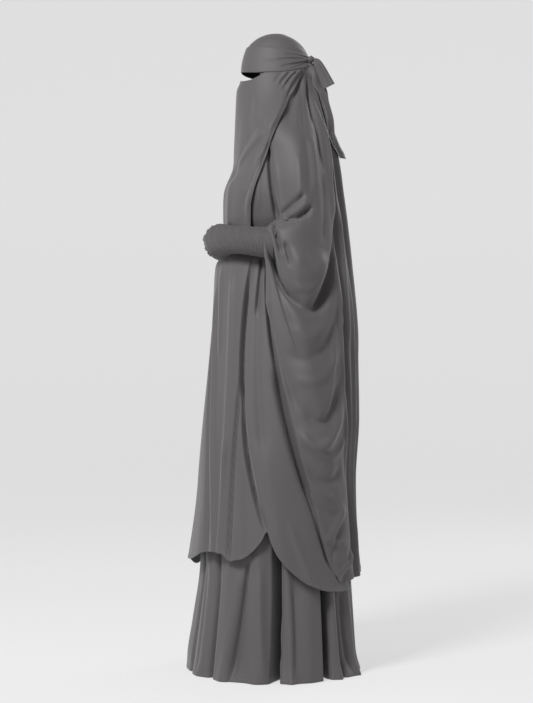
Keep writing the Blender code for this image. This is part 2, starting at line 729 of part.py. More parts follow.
def make_short_tie():
    """The short end springs out of the knot and drops, seen flat from the side."""
    points = []
    count = 9
    share = np.linspace(0.0, 1.0, count)
    known = np.linspace(0.0, 1.0, len(SHORT_TIE))
    side_y = smooth_lookup(known, column(SHORT_TIE, 0), share)
    height = smooth_lookup(known, column(SHORT_TIE, 1), share) - ORIGIN_HEIGHT
    half = smooth_lookup(known, column(SHORT_TIE, 2), share)
    slope_y = np.gradient(side_y)
    slope_z = np.gradient(height)
    length = np.hypot(slope_y, slope_z)
    for place in range(count):
        out = np.array([0.0, -slope_z[place], slope_y[place]]) / length[place]
        middle = np.array([SHORT_TIE_SIDE + SHORT_TIE_SWING * share[place], side_y[place], height[place]])
        crest = np.array([0.003, 0.0, 0.0])
        points.append([middle + out * half[place], middle + crest, middle - out * half[place]])
    cloth_wall("tie_short", np.array(points), thickness=TIE_THICKNESS)


def make_long_tie():
    """The long end hangs on edge: its near edge lies by the drape and its far edge stands off."""
    share = np.linspace(0.0, 1.0, 13)
    known = np.linspace(0.0, 1.0, len(LONG_TIE))
    columns = [smooth_lookup(known, column(LONG_TIE, number), share)[:, None] for number in range(5)]
    height, angle, off, direction, width = columns
    near = to_point(drape_radius(height, angle) + off + TIE_THICKNESS, angle, height)
    turn = np.radians(direction)
    outward = np.stack([np.sin(turn), -np.cos(turn), np.zeros_like(turn)], axis=-1)
    across = np.linspace(0.0, 1.0, 4)[None, :, None]
    cloth_wall("tie_long", near + outward * width[..., None] * across, thickness=TIE_THICKNESS)


def build():
    clear_scene()
    make_hood()
    make_band()
    make_knot()
    make_short_tie()
    make_long_tie()
    make_veil()
    make_front()
    make_drape()
    make_cuff("cuff_left", 1.0)
    make_cuff("cuff_right", -1.0)
    make_skirt()


build()
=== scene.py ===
"""Looks of a worn, hollow two-piece jilbab: hood, tied band, face veil, cape with smocked cuffs and
a gathered skirt. Every cloth piece is a thin shell on its solid's form, worked out from like rings
and folds at a finer spacing. In places its folds are deeper, and smaller creases are added.

Metres, +Z up, the front faces -Y and the wearer's left is +X. Heights in the tables are above the
floor, angles are in degrees round the vertical axis: 0 at the front, 90 at the wearer's left.
"""

import math

import bmesh
import bpy
import numpy as np
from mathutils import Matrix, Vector


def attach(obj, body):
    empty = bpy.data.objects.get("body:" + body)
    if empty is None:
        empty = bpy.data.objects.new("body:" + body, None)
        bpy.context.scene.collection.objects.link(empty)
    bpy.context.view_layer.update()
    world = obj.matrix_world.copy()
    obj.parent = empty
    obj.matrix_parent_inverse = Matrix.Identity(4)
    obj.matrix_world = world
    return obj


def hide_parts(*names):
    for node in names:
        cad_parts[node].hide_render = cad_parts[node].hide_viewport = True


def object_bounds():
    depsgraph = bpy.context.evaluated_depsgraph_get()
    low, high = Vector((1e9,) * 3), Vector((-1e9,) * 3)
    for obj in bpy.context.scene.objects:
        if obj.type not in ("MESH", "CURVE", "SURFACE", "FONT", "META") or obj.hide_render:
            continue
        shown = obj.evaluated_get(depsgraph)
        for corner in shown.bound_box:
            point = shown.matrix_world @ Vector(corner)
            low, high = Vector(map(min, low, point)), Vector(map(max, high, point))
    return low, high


bl_info = {
    "name": "Jilbab Looks",
    "version": (1, 0, 0),
    "blender": (4, 5, 0),
    "location": "View3D > Sidebar > Jilbab",
    "description": "Dresses a worn two-piece jilbab in crepe, with its folds, cuffs and stitching",
    "category": "Object",
}

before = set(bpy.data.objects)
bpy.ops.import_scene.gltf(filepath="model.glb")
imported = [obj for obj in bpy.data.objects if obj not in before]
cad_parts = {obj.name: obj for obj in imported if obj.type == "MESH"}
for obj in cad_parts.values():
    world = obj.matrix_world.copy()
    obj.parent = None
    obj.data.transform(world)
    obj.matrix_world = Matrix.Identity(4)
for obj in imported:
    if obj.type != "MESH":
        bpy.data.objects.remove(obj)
CAD_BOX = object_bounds()

# Frame of the garment
FLOOR = CAD_BOX[0][2]
ORIGIN_HEIGHT = 1.718
CROWN_HEIGHT = 1.720
BODY = "root"

# Rings of the outside drape: height, front reach, back reach, half width
DRAPE_SECTIONS = (
    (1.7158, 0.034, 0.0245, 0.029),
    (1.7036, 0.0565, 0.049, 0.048),
    (1.6859, 0.0755, 0.0695, 0.0605),
    (1.6664, 0.0855, 0.0815, 0.069),
    (1.650, 0.0905, 0.0885, 0.0735),
    (1.630, 0.094, 0.094, 0.0765),
    (1.600, 0.096, 0.105, 0.082),
    (1.550, 0.099, 0.122, 0.100),
    (1.480, 0.108, 0.142, 0.145),
    (1.420, 0.115, 0.155, 0.192),
    (1.350, 0.120, 0.166, 0.226),
    (1.280, 0.130, 0.175, 0.248),
    (1.210, 0.138, 0.184, 0.266),
    (1.100, 0.152, 0.196, 0.281),
    (0.890, 0.180, 0.214, 0.292),
    (0.680, 0.205, 0.218, 0.298),
    (0.530, 0.220, 0.210, 0.300),
    (0.400, 0.235, 0.217, 0.303),
    (0.200, 0.252, 0.236, 0.308),
)

# Rings of the front panel, pressed in where the forearms cross it
FRONT_SECTIONS = (
    (1.540, 0.097, 0.095, 0.086),
    (1.450, 0.103, 0.115, 0.136),
    (1.391, 0.106, 0.125, 0.160),
    (1.350, 0.106, 0.130, 0.170),
    (1.282, 0.132, 0.135, 0.174),
    (1.2145, 0.134, 0.140, 0.164),
    (1.165, 0.118, 0.145, 0.152),
    (1.125, 0.132, 0.148, 0.156),
    (1.104, 0.159, 0.150, 0.168),
    (1.085, 0.167, 0.152, 0.178),
    (1.019, 0.173, 0.158, 0.200),
    (0.888, 0.183, 0.168, 0.224),
    (0.793, 0.192, 0.176, 0.236),
    (0.6765, 0.204, 0.184, 0.248),
    (0.546, 0.216, 0.190, 0.257),
    (0.455, 0.223, 0.196, 0.263),
    (0.370, 0.2326, 0.204, 0.269),
    (0.200, 0.254, 0.220, 0.279),
)

# Rings of the face veil
VEIL_SECTIONS = (
    (1.640, 0.0960, 0.100, 0.080),
    (1.592, 0.0980, 0.104, 0.084),
    (1.563, 0.1080, 0.112, 0.092),
    (1.513, 0.1110, 0.120, 0.104),
    (1.450, 0.1130, 0.130, 0.122),
    (1.391, 0.1150, 0.135, 0.140),
    (1.372, 0.1155, 0.138, 0.146),
    (1.356, 0.1175, 0.140, 0.150),
    (1.329, 0.1270, 0.142, 0.156),
    (1.308, 0.1365, 0.143, 0.159),
    (1.282, 0.1430, 0.144, 0.162),
    (1.255, 0.1445, 0.145, 0.166),
    (1.150, 0.1430, 0.150, 0.166),
)

# Rings of the skirt
SKIRT_SECTIONS = (
    (1.000, 0.120, 0.110, 0.150),
    (0.850, 0.156, 0.150, 0.190),
    (0.680, 0.184, 0.168, 0.2235),
    (0.500, 0.202, 0.180, 0.2375),
    (0.283, 0.206, 0.200, 0.245),
    (0.133, 0.2255, 0.212, 0.257),
    (0.039, 0.240, 0.219, 0.266),
    (0.000, 0.242, 0.222, 0.270),
)

# Left front edge of the drape: height, angle, share of its full stand-off from the front panel
DRAPE_EDGE = (
    (1.643, 52, 1.00),
    (1.600, 58, 1.00),
    (1.550, 66, 1.00),
    (1.500, 72, 0.90),
    (1.450, 78, 0.55),
    (1.420, 81, 0.35),
    (1.375, 84, 0.12),
    (1.320, 85, 0.10),
    (1.270, 88, 0.14),
    (1.225, 91, 0.30),
    (1.205, 92, 0.42),
    (1.188, 87, 0.62),
    (1.170, 83, 0.812),
    (1.140, 82, 0.842),
    (1.112, 82, 0.752),
    (1.090, 82, 0.53),
    (1.045, 82, 0.32),
    (0.989, 82, 0.28),
    (0.912, 85.5, 0.18),
    (0.825, 90, 0.12),
    (0.769, 92.5, 0.10),
    (0.710, 96, 0.12),
    (0.654, 98.7, 0.15),
    (0.585, 102.5, 0.18),
    (0.476, 110.5, 0.18),
    (0.372, 117, 0.16),
    (0.312, 122, 0.14),
    (0.285, 125.5, 0.12),
    (0.257, 131, 0.12),
    (0.236, 138, 0.14),
)
EDGE_EASE = 0.095
EDGE_ROLL = 0.0045
EDGE_ROLL_REACH = 0.006
# The roll fades in below the front panel's top and is fainter along the drape's lowest stretch
ROLL_FADE = 0.08
ROLL_LOW_HEIGHT = 0.27
ROLL_LOW_SHARE = 0.25
# Folds are shallower at the very edge, and the long waves begin behind it
EDGE_FOLD_SHARE = 0.55
EDGE_FOLD_REACH = 0.03
EDGE_WAVE_REACH = 0.05
DRAPE_ABOVE_PANEL = 0.0022
# On the right side the drape's creases hang lower and further forward, and all folds are softer
RIGHT_CREASE_DROP = 0.010
RIGHT_CREASE_TURN = 1.5
RIGHT_SOFTNESS = 0.85
# The other right-hand folds swing by some degrees, in waves down the height, and hang lower
RIGHT_SWING = 2.5
RIGHT_SWING_RATE = 4.0
RIGHT_SWING_PHASE = 1.0
RIGHT_DROP = 0.012
RIGHT_UNEVEN_DROP = 0.018

# Side edges of the front panel, under the drape: height, angle
FRONT_EDGE = (
    (1.540, 88),
    (1.400, 104),
    (1.200, 108),
    (1.000, 108),
    (0.600, 122),
    (0.226, 146),
)

# Rear edge of the veil: height, angle
VEIL_EDGE = (
    (1.622, 140),
    (1.609, 136),
    (1.580, 121),
    (1.547, 107),
    (1.500, 96),
    (1.465, 90),
    (1.423, 84.5),
    (1.377, 79.5),
    (1.327, 74),
    (1.282, 69),
    (1.243, 66),
    (1.150, 64),
)
VEIL_ABOVE_BODY = 0.012
VEIL_WAVES = 0.7
# The veil rises over the drape from this many degrees before the drape's edge, over this many
VEIL_RISE_START = 26
VEIL_RISE_REACH = 20
# Clearance over what lies below: the wall allowed for, its least and most, and what is added
VEIL_UNDER_WALL = 0.002
VEIL_CLEARANCE = (0.003, 0.006)
VEIL_LAYER_GAP = 0.003
VEIL_BLEND = 0.007
# However deep its folds, the veil stays this far out
VEIL_LIMIT = 0.0034
VEIL_LIMIT_BLEND = 0.002
# The rear edge stands up a little below this height, and is rolled in
VEIL_LIFT = 0.006
VEIL_LIFT_REACH = 0.016
VEIL_LIFT_HEIGHT = 1.60
VEIL_LIFT_FADE = 0.08
VEIL_ROLL = 0.0035
VEIL_ROLL_REACH = 0.004

# Lower edges: angle, height
FRONT_HEM = (
    (0, 0.296),
    (15, 0.300),
    (30, 0.315),
    (39, 0.328),
    (49, 0.332),
    (56, 0.329),
    (60.5, 0.310),
    (64, 0.314),
    (69, 0.318),
    (76, 0.339),
    (81, 0.366),
    (84.2, 0.391),
    (86, 0.368),
    (90, 0.328),
    (98, 0.285),
    (109, 0.249),
    (122, 0.231),
    (138, 0.226),
    (160, 0.226),
)
# On the right side the front hem hangs lower about this angle: angle, reach, drop
LOWER_CORNER = (-31, 15, 0.046)
DRAPE_HEM = (
    (100, 0.262),
    (117, 0.238),
    (129, 0.233),
    (143, 0.252),
    (171, 0.266),
    (180, 0.268),
)

# Forehead band: angle, upper edge, lower edge
BAND_EDGES = (
    (0, 1.6820, 1.6160),
    (30, 1.6810, 1.6090),
    (57, 1.6780, 1.6050),
    (90, 1.6715, 1.6048),
    (112, 1.6665, 1.6080),
    (135, 1.6610, 1.6164),
    (158, 1.6565, 1.6278),
    (180, 1.6550, 1.6345),
)
EYE_SLIT_ANGLE = 68
EYE_SLIT_DEPTH = 0.024
EYE_SLIT_POWER = 3.3
HOOD_SEAM_HEIGHT = 1.6440
# Rows of the hood: gap under the crown, share of the first row, crowding towards the crown
HOOD_TOP_GAP = 0.0002
HOOD_FIRST_ROW = 0.02
HOOD_ROW_POWER = 1.6
# The band is thicker past this angle, towards the knot
BAND_GATHER = 0.0012
BAND_GATHER_ANGLE = 60
# Its upper edge is rolled over the forehead, which fades out past an angle over some degrees
BAND_ROLL = 0.0016
BAND_ROLL_REACH = 0.010
BAND_ROLL_ANGLE = 40
BAND_ROLL_FADE = 80
BAND_WALL = 0.0014
BAND_EDGE_ROUND = 0.0008
BAND_EDGE_REACH = 0.0018
# The layer under the hood ends in a low step over the front of the head
UNDER_HOOD_STEP = 0.0009
UNDER_HOOD_PLACE = -0.040
UNDER_HOOD_REACH = 0.004
HEAD_CENTRE_HEIGHT = 1.62

# Folds follow a curve with a start, a pull and an end (angle, height). Depth is out (+) or in (-),
# reach is the half width, lean makes the back (-) or front (+) side of a falling curve gentler.
# start, pull, end, depth, reach, lean
DRAPE_FOLDS = (
    # the deep swag under the arm, wide below, crisp on its front side
    ((85, 1.135), (108, 0.785), (130, 1.155), -0.017, 0.019, 0.0),
    ((82.2, 1.190), (84.6, 1.066), (103, 0.966), -0.038, 0.0092, -0.40),
    ((135, 1.230), (131.5, 1.040), (108, 0.952), -0.024, 0.0135, -0.35),
    ((139, 1.300), (137, 1.120), (134, 0.900), 0.009, 0.0090, 0.0),
    ((98, 1.130), (109, 1.000), (121, 1.120), 0.014, 0.032, 0.0),
    ((82, 1.165), (85, 1.050), (101, 0.830), 0.013, 0.0105, 0.4),
    ((84, 0.990), (89, 0.860), (104, 0.690), -0.011, 0.013, 0.2),
    ((92, 0.870), (112, 0.760), (134, 1.000), -0.009, 0.017, 0.0),
    ((94, 0.930), (112, 0.830), (130, 1.040), 0.007, 0.017, 0.0),
    # the sleeve gathered over the elbow
    ((82, 1.200), (102, 1.168), (115, 1.232), 0.008, 0.0060, 0.0),
    ((93, 1.206), (104, 1.181), (113, 1.238), -0.020, 0.0064, -0.2),
    ((91, 1.208), (99, 1.226), (109, 1.272), -0.016, 0.0064, -0.2),
    ((97, 1.208), (102, 1.219), (109, 1.252), 0.006, 0.0060, 0.0),
    ((103, 1.200), (113, 1.208), (118, 1.300), -0.006, 0.013, 0.2),
    ((87.0, 1.196), (88.6, 1.158), (92.4, 1.108), -0.019, 0.0054, -0.2),
    ((93.8, 1.140), (95.8, 1.116), (97.6, 1.070), -0.013, 0.0056, 0.0),
    ((85.6, 1.186), (87.0, 1.146), (91.0, 1.090), 0.006, 0.0056, 0.0),
    # the lower swag
    ((101, 0.660), (116, 0.530), (134, 0.730), 0.013, 0.015, 0.0),
    ((104, 0.720), (117, 0.590), (131, 0.800), -0.013, 0.014, 0.0),
    ((106, 0.560), (117, 0.470), (134, 0.560), -0.007, 0.013, 0.0),
    # long folds down the back from the knot
    ((158, 1.610), (146, 1.450), (141, 1.240), -0.014, 0.0080, 0.5),
    ((143, 1.310), (132, 1.020), (146, 0.640), -0.020, 0.0120, 0.5),
    ((143, 0.740), (146, 0.520), (151, 0.200), -0.013, 0.0110, 0.2),
    ((151, 1.540), (129, 1.270), (133, 0.990), 0.009, 0.0110, 0.0),
    ((133, 1.060), (134, 0.860), (140, 0.540), 0.008, 0.0110, 0.0),
    ((137, 0.460), (128, 0.390), (117, 0.350), 0.007, 0.010, 0.0),
    ((149, 0.330), (136, 0.280), (125, 0.255), 0.007, 0.009, 0.0),
    ((152, 1.610), (135, 1.510), (127, 1.330), -0.012, 0.0085, 0.5),
    ((138, 1.590), (122, 1.530), (112, 1.430), -0.008, 0.0090, 0.4),
    ((171, 1.600), (158, 1.480), (152, 1.200), -0.012, 0.011, 0.0),
    ((165, 1.500), (157, 1.100), (160, 0.200), -0.012, 0.012, 0.2),
    ((173, 1.540), (168, 1.000), (171, 0.330), 0.009, 0.018, 0.0),
    ((180, 1.420), (180, 0.900), (180, 0.400), -0.010, 0.020, 0.0),
    ((152, 1.150), (152, 0.700), (155, 0.200), 0.010, 0.014, 0.0),
)
# Smaller creases that only the finished cloth has
DRAPE_CREASES = (
    ((83, 1.130), (84, 1.060), (88, 0.980), -0.0040, 0.0070, 0.0),
    ((98, 1.030), (109, 0.985), (122, 1.080), 0.0045, 0.0100, 0.0),
    ((93, 1.010), (104, 1.004), (118, 1.014), -0.0022, 0.0062, 0.0),
    ((91.5, 0.903), (101, 0.894), (114, 0.908), -0.0022, 0.0062, 0.0),
    ((99, 0.863), (108, 0.852), (120, 0.864), -0.0020, 0.0062, 0.0),
    ((108, 0.600), (127, 0.545), (138, 0.640), 0.0045, 0.0080, 0.0),
    ((104, 0.940), (116, 0.900), (130, 1.010), -0.0040, 0.0100, 0.0),
    ((97, 0.800), (112, 0.730), (131, 0.880), 0.0050, 0.0120, 0.0),
    ((101, 0.600), (110, 0.480), (127, 0.470), 0.0055, 0.0110, 0.0),
    ((106, 0.520), (116, 0.410), (134, 0.430), -0.0045, 0.0100, 0.0),
    ((111, 0.430), (121, 0.340), (139, 0.360), 0.0045, 0.0090, 0.0),
    ((133, 0.420), (125, 0.330), (120, 0.250), -0.0045, 0.0080, 0.0),
    ((144, 0.360), (140, 0.300), (133, 0.235), -0.0045, 0.0080, 0.0),
    ((105, 1.380), (105, 1.310), (103, 1.245), 0.0050, 0.0100, 0.0),
    ((113, 1.430), (113, 1.330), (110, 1.240), -0.0055, 0.0090, 0.0),
    ((88, 1.360), (90, 1.290), (93, 1.230), 0.0045, 0.0080, 0.0),
    ((141, 1.606), (116, 1.550), (97, 1.456), -0.0085, 0.0065, 0.3),
    ((147, 1.600), (124, 1.540), (106, 1.440), 0.0060, 0.0100, 0.0),
    ((152, 1.603), (143, 1.540), (128, 1.450), -0.0060, 0.0060, 0.4),
    ((160, 1.595), (145, 1.490), (134, 1.300), 0.0060, 0.0080, 0.0),
    ((120, 1.440), (119, 1.330), (116, 1.240), 0.0045, 0.0110, 0.0),
    ((126, 1.330), (124, 1.220), (119, 1.130), -0.0050, 0.0100, 0.0),
    ((148, 1.260), (146, 1.050), (144, 0.850), 0.0060, 0.0090, 0.0),
    ((149, 0.940), (149, 0.700), (152, 0.400), -0.0055, 0.0090, 0.0),
    ((127, 0.950), (124, 0.840), (120, 0.700), 0.0045, 0.0090, 0.0),
    ((136, 0.800), (135, 0.640), (140, 0.500), -0.0050, 0.0100, 0.0),
    ((172, 0.900), (173, 0.600), (174, 0.200), -0.0070, 0.0110, 0.0),
    ((163, 0.700), (163, 0.450), (164, 0.200), -0.0060, 0.0100, 0.0),
)
FRONT_FOLDS = (
    # the narrow groove beside the drape, and the light rib along its back
    ((67, 1.110), (55.5, 0.720), (85, 0.370), -0.031, 0.0076, -0.60),
    ((70, 1.090), (59.5, 0.720), (88, 0.370), 0.0075, 0.0095, 0.4),
    ((76, 1.110), (75.5, 1.050), (74, 0.950), -0.013, 0.0042, -0.3),
    ((77, 1.070), (74, 0.780), (83, 0.540), -0.006, 0.0130, 0.0),
    # turned folds of the middle: ridges steep towards the back, troughs towards the front
    ((13, 1.000), (34, 0.700), (44, 0.250), -0.012, 0.0120, -0.5),
    ((21, 1.060), (41, 0.720), (50, 0.250), 0.010, 0.0150, 0.4),
    ((48, 1.094), (58, 0.860), (54, 0.470), 0.0070, 0.0085, 0.3),
    ((30, 1.088), (37, 0.970), (41, 0.835), 0.0055, 0.0080, 0.3),
    ((64, 0.800), (60, 0.560), (60, 0.250), -0.016, 0.0078, -0.6),
    ((56, 0.660), (53, 0.450), (54, 0.250), 0.0080, 0.0100, 0.0),
    ((79, 0.640), (84, 0.500), (97, 0.250), 0.005, 0.028, 0.0),
    ((6, 1.060), (4, 0.700), (8, 0.250), -0.007, 0.018, 0.0),
)
FRONT_CREASES = (
    ((68, 0.560), (70, 0.450), (72, 0.270), -0.0050, 0.0080, -0.4),
    ((96, 0.420), (104, 0.320), (114, 0.200), 0.0040, 0.0100, 0.0),
    ((128, 0.340), (130, 0.290), (126, 0.240), 0.0040, 0.0080, 0.0),
    ((74, 1.400), (73, 1.320), (72, 1.220), 0.0050, 0.0090, 0.0),
)
# Hollows of the front panel along the drape's edge, where the drape stands away from it
FRONT_POCKETS = (
    ((81, 1.430), (82, 1.300), (90, 1.200), -0.016, 0.0052, -0.3),
    ((81, 1.120), (81.5, 0.940), (90, 0.790), -0.022, 0.0050, -0.4),
    ((88.5, 0.830), (94.5, 0.640), (113, 0.430), -0.034, 0.0100, -0.2),
    ((109, 0.480), (116.5, 0.370), (124.5, 0.285), -0.012, 0.0080, 0.0),
)
VEIL_FOLDS = (
    ((108, 1.545), (84, 1.425), (24, 1.335), 0.0075, 0.017, 0.4),
    ((112, 1.560), (90, 1.445), (54, 1.235), -0.0100, 0.013, -0.4),
    ((92, 1.455), (72, 1.370), (58, 1.200), 0.0060, 0.011, 0.0),
    ((78, 1.490), (52, 1.395), (14, 1.300), -0.0060, 0.015, 0.0),
)
VEIL_CREASES = (
    ((138, 1.614), (116, 1.588), (100, 1.520), -0.0050, 0.0050, -0.3),
    ((134, 1.616), (118, 1.596), (104, 1.556), 0.0050, 0.0040, 0.3),
    ((129, 1.613), (112, 1.596), (97, 1.552), -0.0045, 0.0040, -0.3),
    ((124, 1.612), (110, 1.597), (98, 1.568), 0.0045, 0.0040, 0.3),
    ((118, 1.610), (105, 1.596), (93, 1.566), -0.0040, 0.0040, -0.3),
    ((110, 1.608), (100, 1.597), (90, 1.574), 0.0035, 0.0040, 0.3),
    ((102, 1.607), (94, 1.596), (86, 1.578), -0.0030, 0.0040, 0.0),
    ((62, 1.330), (58, 1.270), (56, 1.180), -0.0040, 0.0100, 0.0),
    ((34, 1.320), (31, 1.260), (30, 1.160), 0.0040, 0.0130, 0.0),
    ((14, 1.320), (11, 1.260), (10, 1.160), -0.0035, 0.0130, 0.0),
)
# Gathers of the band, drawn together towards the knot
BAND_FOLDS = (
    ((88, 1.6380), (122, 1.6440), (160, 1.6480), -0.0034, 0.0024, 0.0),
    ((96, 1.6200), (128, 1.6300), (160, 1.6440), -0.0034, 0.0024, 0.3),
    ((104, 1.6540), (132, 1.6530), (160, 1.6510), -0.0030, 0.0022, 0.0),
    ((100, 1.6440), (130, 1.6470), (160, 1.6470), 0.0016, 0.0026, 0.0),
    ((108, 1.6290), (140, 1.6370), (160, 1.6450), 0.0018, 0.0024, 0.0),
    ((118, 1.6170), (140, 1.6270), (160, 1.6420), -0.0028, 0.0020, 0.0),
    ((60, 1.6420), (95, 1.6440), (140, 1.6480), 0.0012, 0.0060, 0.0),
    ((194, 1.6460), (184, 1.6460), (164, 1.6460), -0.0024, 0.0030, 0.0),
)
HOOD_FOLDS = (
    ((150, 1.6860), (160, 1.6760), (176, 1.6580), -0.0010, 0.0035, 0.0),
    ((128, 1.6760), (150, 1.6700), (172, 1.6590), 0.0009, 0.0035, 0.0),
    ((110, 1.7000), (140, 1.6900), (165, 1.6680), -0.0007, 0.0045, 0.0),
)

# Skirt folds: angle, depth at the hem, reach at the hem, height where the fold begins
SKIRT_FOLDS = (
    (0, 0.002, 0.030, 0.75),
    (23, -0.020, 0.010, 0.72),
    (34, 0.008, 0.022, 0.70),
    (45, -0.021, 0.008, 0.80),
    (57, 0.011, 0.026, 0.74),
    (77, 0.018, 0.024, 0.78),
    (88.2, -0.085, 0.0095, 1.00),
    (96, 0.012, 0.014, 0.78),
    (108, 0.008, 0.024, 0.70),
    (120, -0.070, 0.0100, 1.00),
    (128, 0.010, 0.012, 0.70),
    (136, -0.012, 0.008, 0.66),
    (147, 0.014, 0.020, 0.74),
    (158, -0.026, 0.013, 0.80),
    (177, -0.019, 0.017, 0.75),
    (-18, -0.020, 0.014, 0.80),
    (-30, 0.010, 0.022, 0.70),
    (-41, -0.030, 0.010, 0.80),
    (-56, 0.013, 0.022, 0.70),
    (-70, -0.020, 0.012, 0.85),
    (-83, 0.012, 0.018, 0.70),
    (-94, -0.050, 0.011, 0.92),
    (-107, 0.012, 0.020, 0.70),
    (-125, -0.034, 0.012, 0.85),
    (-140, 0.012, 0.020, 0.70),
    (-156, -0.024, 0.015, 0.80),
)
# Skirt folds that don't run straight down: start, pull and end as angle and height, depth, reach, lean
SKIRT_CROSS_FOLDS = (
    ((72, 0.330), (69, 0.190), (62, -0.020), -0.014, 0.0085, -0.5),
    ((66, 0.300), (63, 0.150), (57, -0.020), 0.007, 0.0140, 0.0),
    ((80, 0.300), (80, 0.150), (84, -0.020), 0.006, 0.0100, 0.0),
    ((99, 0.260), (101, 0.140), (99, -0.020), -0.008, 0.0080, -0.4),
    ((140, 0.240), (138, 0.120), (147, -0.020), -0.010, 0.0090, 0.4),
    ((30, 0.330), (36, 0.160), (33, -0.020), -0.006, 0.0110, 0.0),
    ((-60, 0.330), (-66, 0.160), (-61, -0.020), -0.010, 0.0100, 0.4),
    ((-108, 0.300), (-112, 0.150), (-106, -0.020), -0.008, 0.0100, -0.4),
    ((-150, 0.240), (-146, 0.120), (-152, -0.020), -0.008, 0.0100, 0.0),
    ((168, 0.240), (166, 0.120), (170, -0.020), -0.008, 0.0110, 0.0),
)
# Where the skirt spreads on the floor: angle, reach, depth
FLOOR_SPREAD = (
    (142, 14, 0.017),
    (100, 9, 0.007),
    (62, 10, 0.008),
    (30, 9, 0.006),
    (-52, 14, 0.010),
    (-84, 9, 0.008),
    (-134, 13, 0.010),
    (176, 14, 0.008),
)
FLOOR_FLARE_HEIGHT = 0.060
FLOOR_FLARE_POWER = 1.5
# Skirt folds sway by some degrees, in waves down the height. Deep recesses have the steepest sides.
SKIRT_SWAY = 1.9
SKIRT_SWAY_RATE = 5.0
SKIRT_TROUGH_POWER = 1.7
DEEP_RECESS = -0.04
DEEP_RECESS_POWER = 3.2
# A recess deeper than this is slanted, so that it runs in under its neighbour
FOLD_SLANT = 0.40
FOLD_SLANT_START = 0.015
# The skirt stays inside the front panel where the panel covers it
UNDER_PANEL_GAP = 0.0056
COVERED_BELOW_HEM = 0.045
COVERED_TOP = 0.9
COVERED_ANGLE = 125
SEAM_LAP = 0.9
SEAM_TUCK = 0.0022
SEAM_GAP = 0.0003
SKIRT_TOP = 1.000
SKIRT_SEAMS = (90, -95)
SKIRT_FINE_TOP = 0.42
WAISTBAND_HEIGHT = 0.035
WAISTBAND_WALL = 0.0025
# Gathers of the waistband: depth, count round it, channels for the elastic
WAISTBAND_GATHER = 0.0012
WAISTBAND_GATHERS = 90
WAISTBAND_CHANNELS = 3

# Long undulations of hanging cloth: waves round, phase, drift with height, depth
HANGING_WAVES = (
    (9, 40, 5.0, 0.0012),
    (14, 110, -7.0, 0.0007),
    (23, 250, 9.0, 0.0002),
)
# Down from these heights they grow from a share of their depth to all of it, over a length
WAVE_TOP_SHARE = 0.35
WAVE_GROWTH = 0.6
DRAPE_WAVE_TOP = 1.5
FRONT_WAVE_TOP = 1.1
SKIRT_WAVE_TOP = 0.8

# Left cuff: centre line from the sleeve mouth to the wrist, and radii along it
CUFF_START = (0.213, 0.000, 1.1375)
CUFF_PULL = (0.185, -0.128, 1.1560)
CUFF_END = (0.057, -0.155, 1.1530)
CUFF_RADII = (
    (0.00, 0.0430),
    (0.25, 0.0380),
    (0.50, 0.0358),
    (0.75, 0.0400),
    (0.92, 0.0450),
    (1.00, 0.0438),
)
CUFF_LENGTH = 0.245
SHIRRING_ROW = 0.0074
SHIRRING_PLEATS = 44
# How the rows of elastic stray round the cuff: waves, phase, size in rows
SHIRRING_STRAY = (
    (3, 1.0, 0.26),
    (8, 0.0, 0.14),
)
SMOCK_DEPTH = 0.0030
PUFF_POWER = 0.7
PLEAT_FLOOR = 0.30
# Shift of the pleats from row to row: drift, phase, size
PLEAT_SHIFT = (2.4, 1.0, 1.9)
# Waves that vary the pleats: count round the cuff, drift from row to row, size
PLEAT_WANDER = (7, 1.3, 1.5)
PLEAT_STRENGTH = (17, 3.1, 0.35)
PLEAT_SWELL = (5, 1.7, 0.25)
RUFFLE_DEPTH = 0.0022
RUFFLE_LENGTH = 0.016
# Scallops of the wrist end: count, how far they stray and how often round it, share of the depth
RUFFLE_WAVES = (
    (13, 2.2, 3, 1.00),
    (29, 1.7, 5, 0.45),
)
# Outer face between pleats, elastic thread and inner face, in from the tabled radius
CUFF_OUTSIDE = 0.0012
ELASTIC_INSET = 0.0010
CUFF_INSIDE = 0.0025
INSIDE_COARSENESS = 8
# Stitches of the elastic are longer and further apart by this factor
ELASTIC_SPACING = 1.7
ELASTIC_POINTS = 90
ELASTIC_PLACES = 1000
CUFF_CLEARANCE = 0.006
PANEL_CUFF_CLEARANCE = 0.007
CUFF_REACH_HEIGHT = 0.09
CUFF_LINE_POINTS = 33

# Knot and ties
KNOT_RADII = (0.0120, 0.0088, 0.0098)
BAND_STAND_OFF = 0.0033
KNOT_HEIGHT = 1.6455
KNOT_ANGLE = 158
KNOT_SUNK = 0.0008
KNOT_POLE = 0.03
# Where the knot is pinched or full: place along it, reach, change of girth
KNOT_PINCHES = (
    (0.25, 0.24, -0.34),
    (-0.40, 0.30, 0.10),
)
# Pleats of the knot: count round it, twist along it, depth
KNOT_PLEATS = (
    (6, 4, 0.085),
    (11, -3, 0.030),
)
# Short end of the band: distance behind the axis, height, half width
SHORT_TIE = (
    (0.1000, 1.6465, 0.0055),
    (0.1080, 1.6370, 0.0105),
    (0.1170, 1.6200, 0.0135),
    (0.1280, 1.5970, 0.0155),
    (0.1410, 1.5720, 0.0165),
)
SHORT_TIE_SIDE = 0.0385
SHORT_TIE_SWING = 0.008
SHORT_TIE_WAVE = 0.002
SHORT_TIE_WAVE_TURN = 5
SHORT_TIE_CREST = 0.0026
# Soft folds along the short tie: half waves across it, share of the crest
TIE_FOLDS = (
    (1.0, 0.50),
    (3.1, 0.35),
)
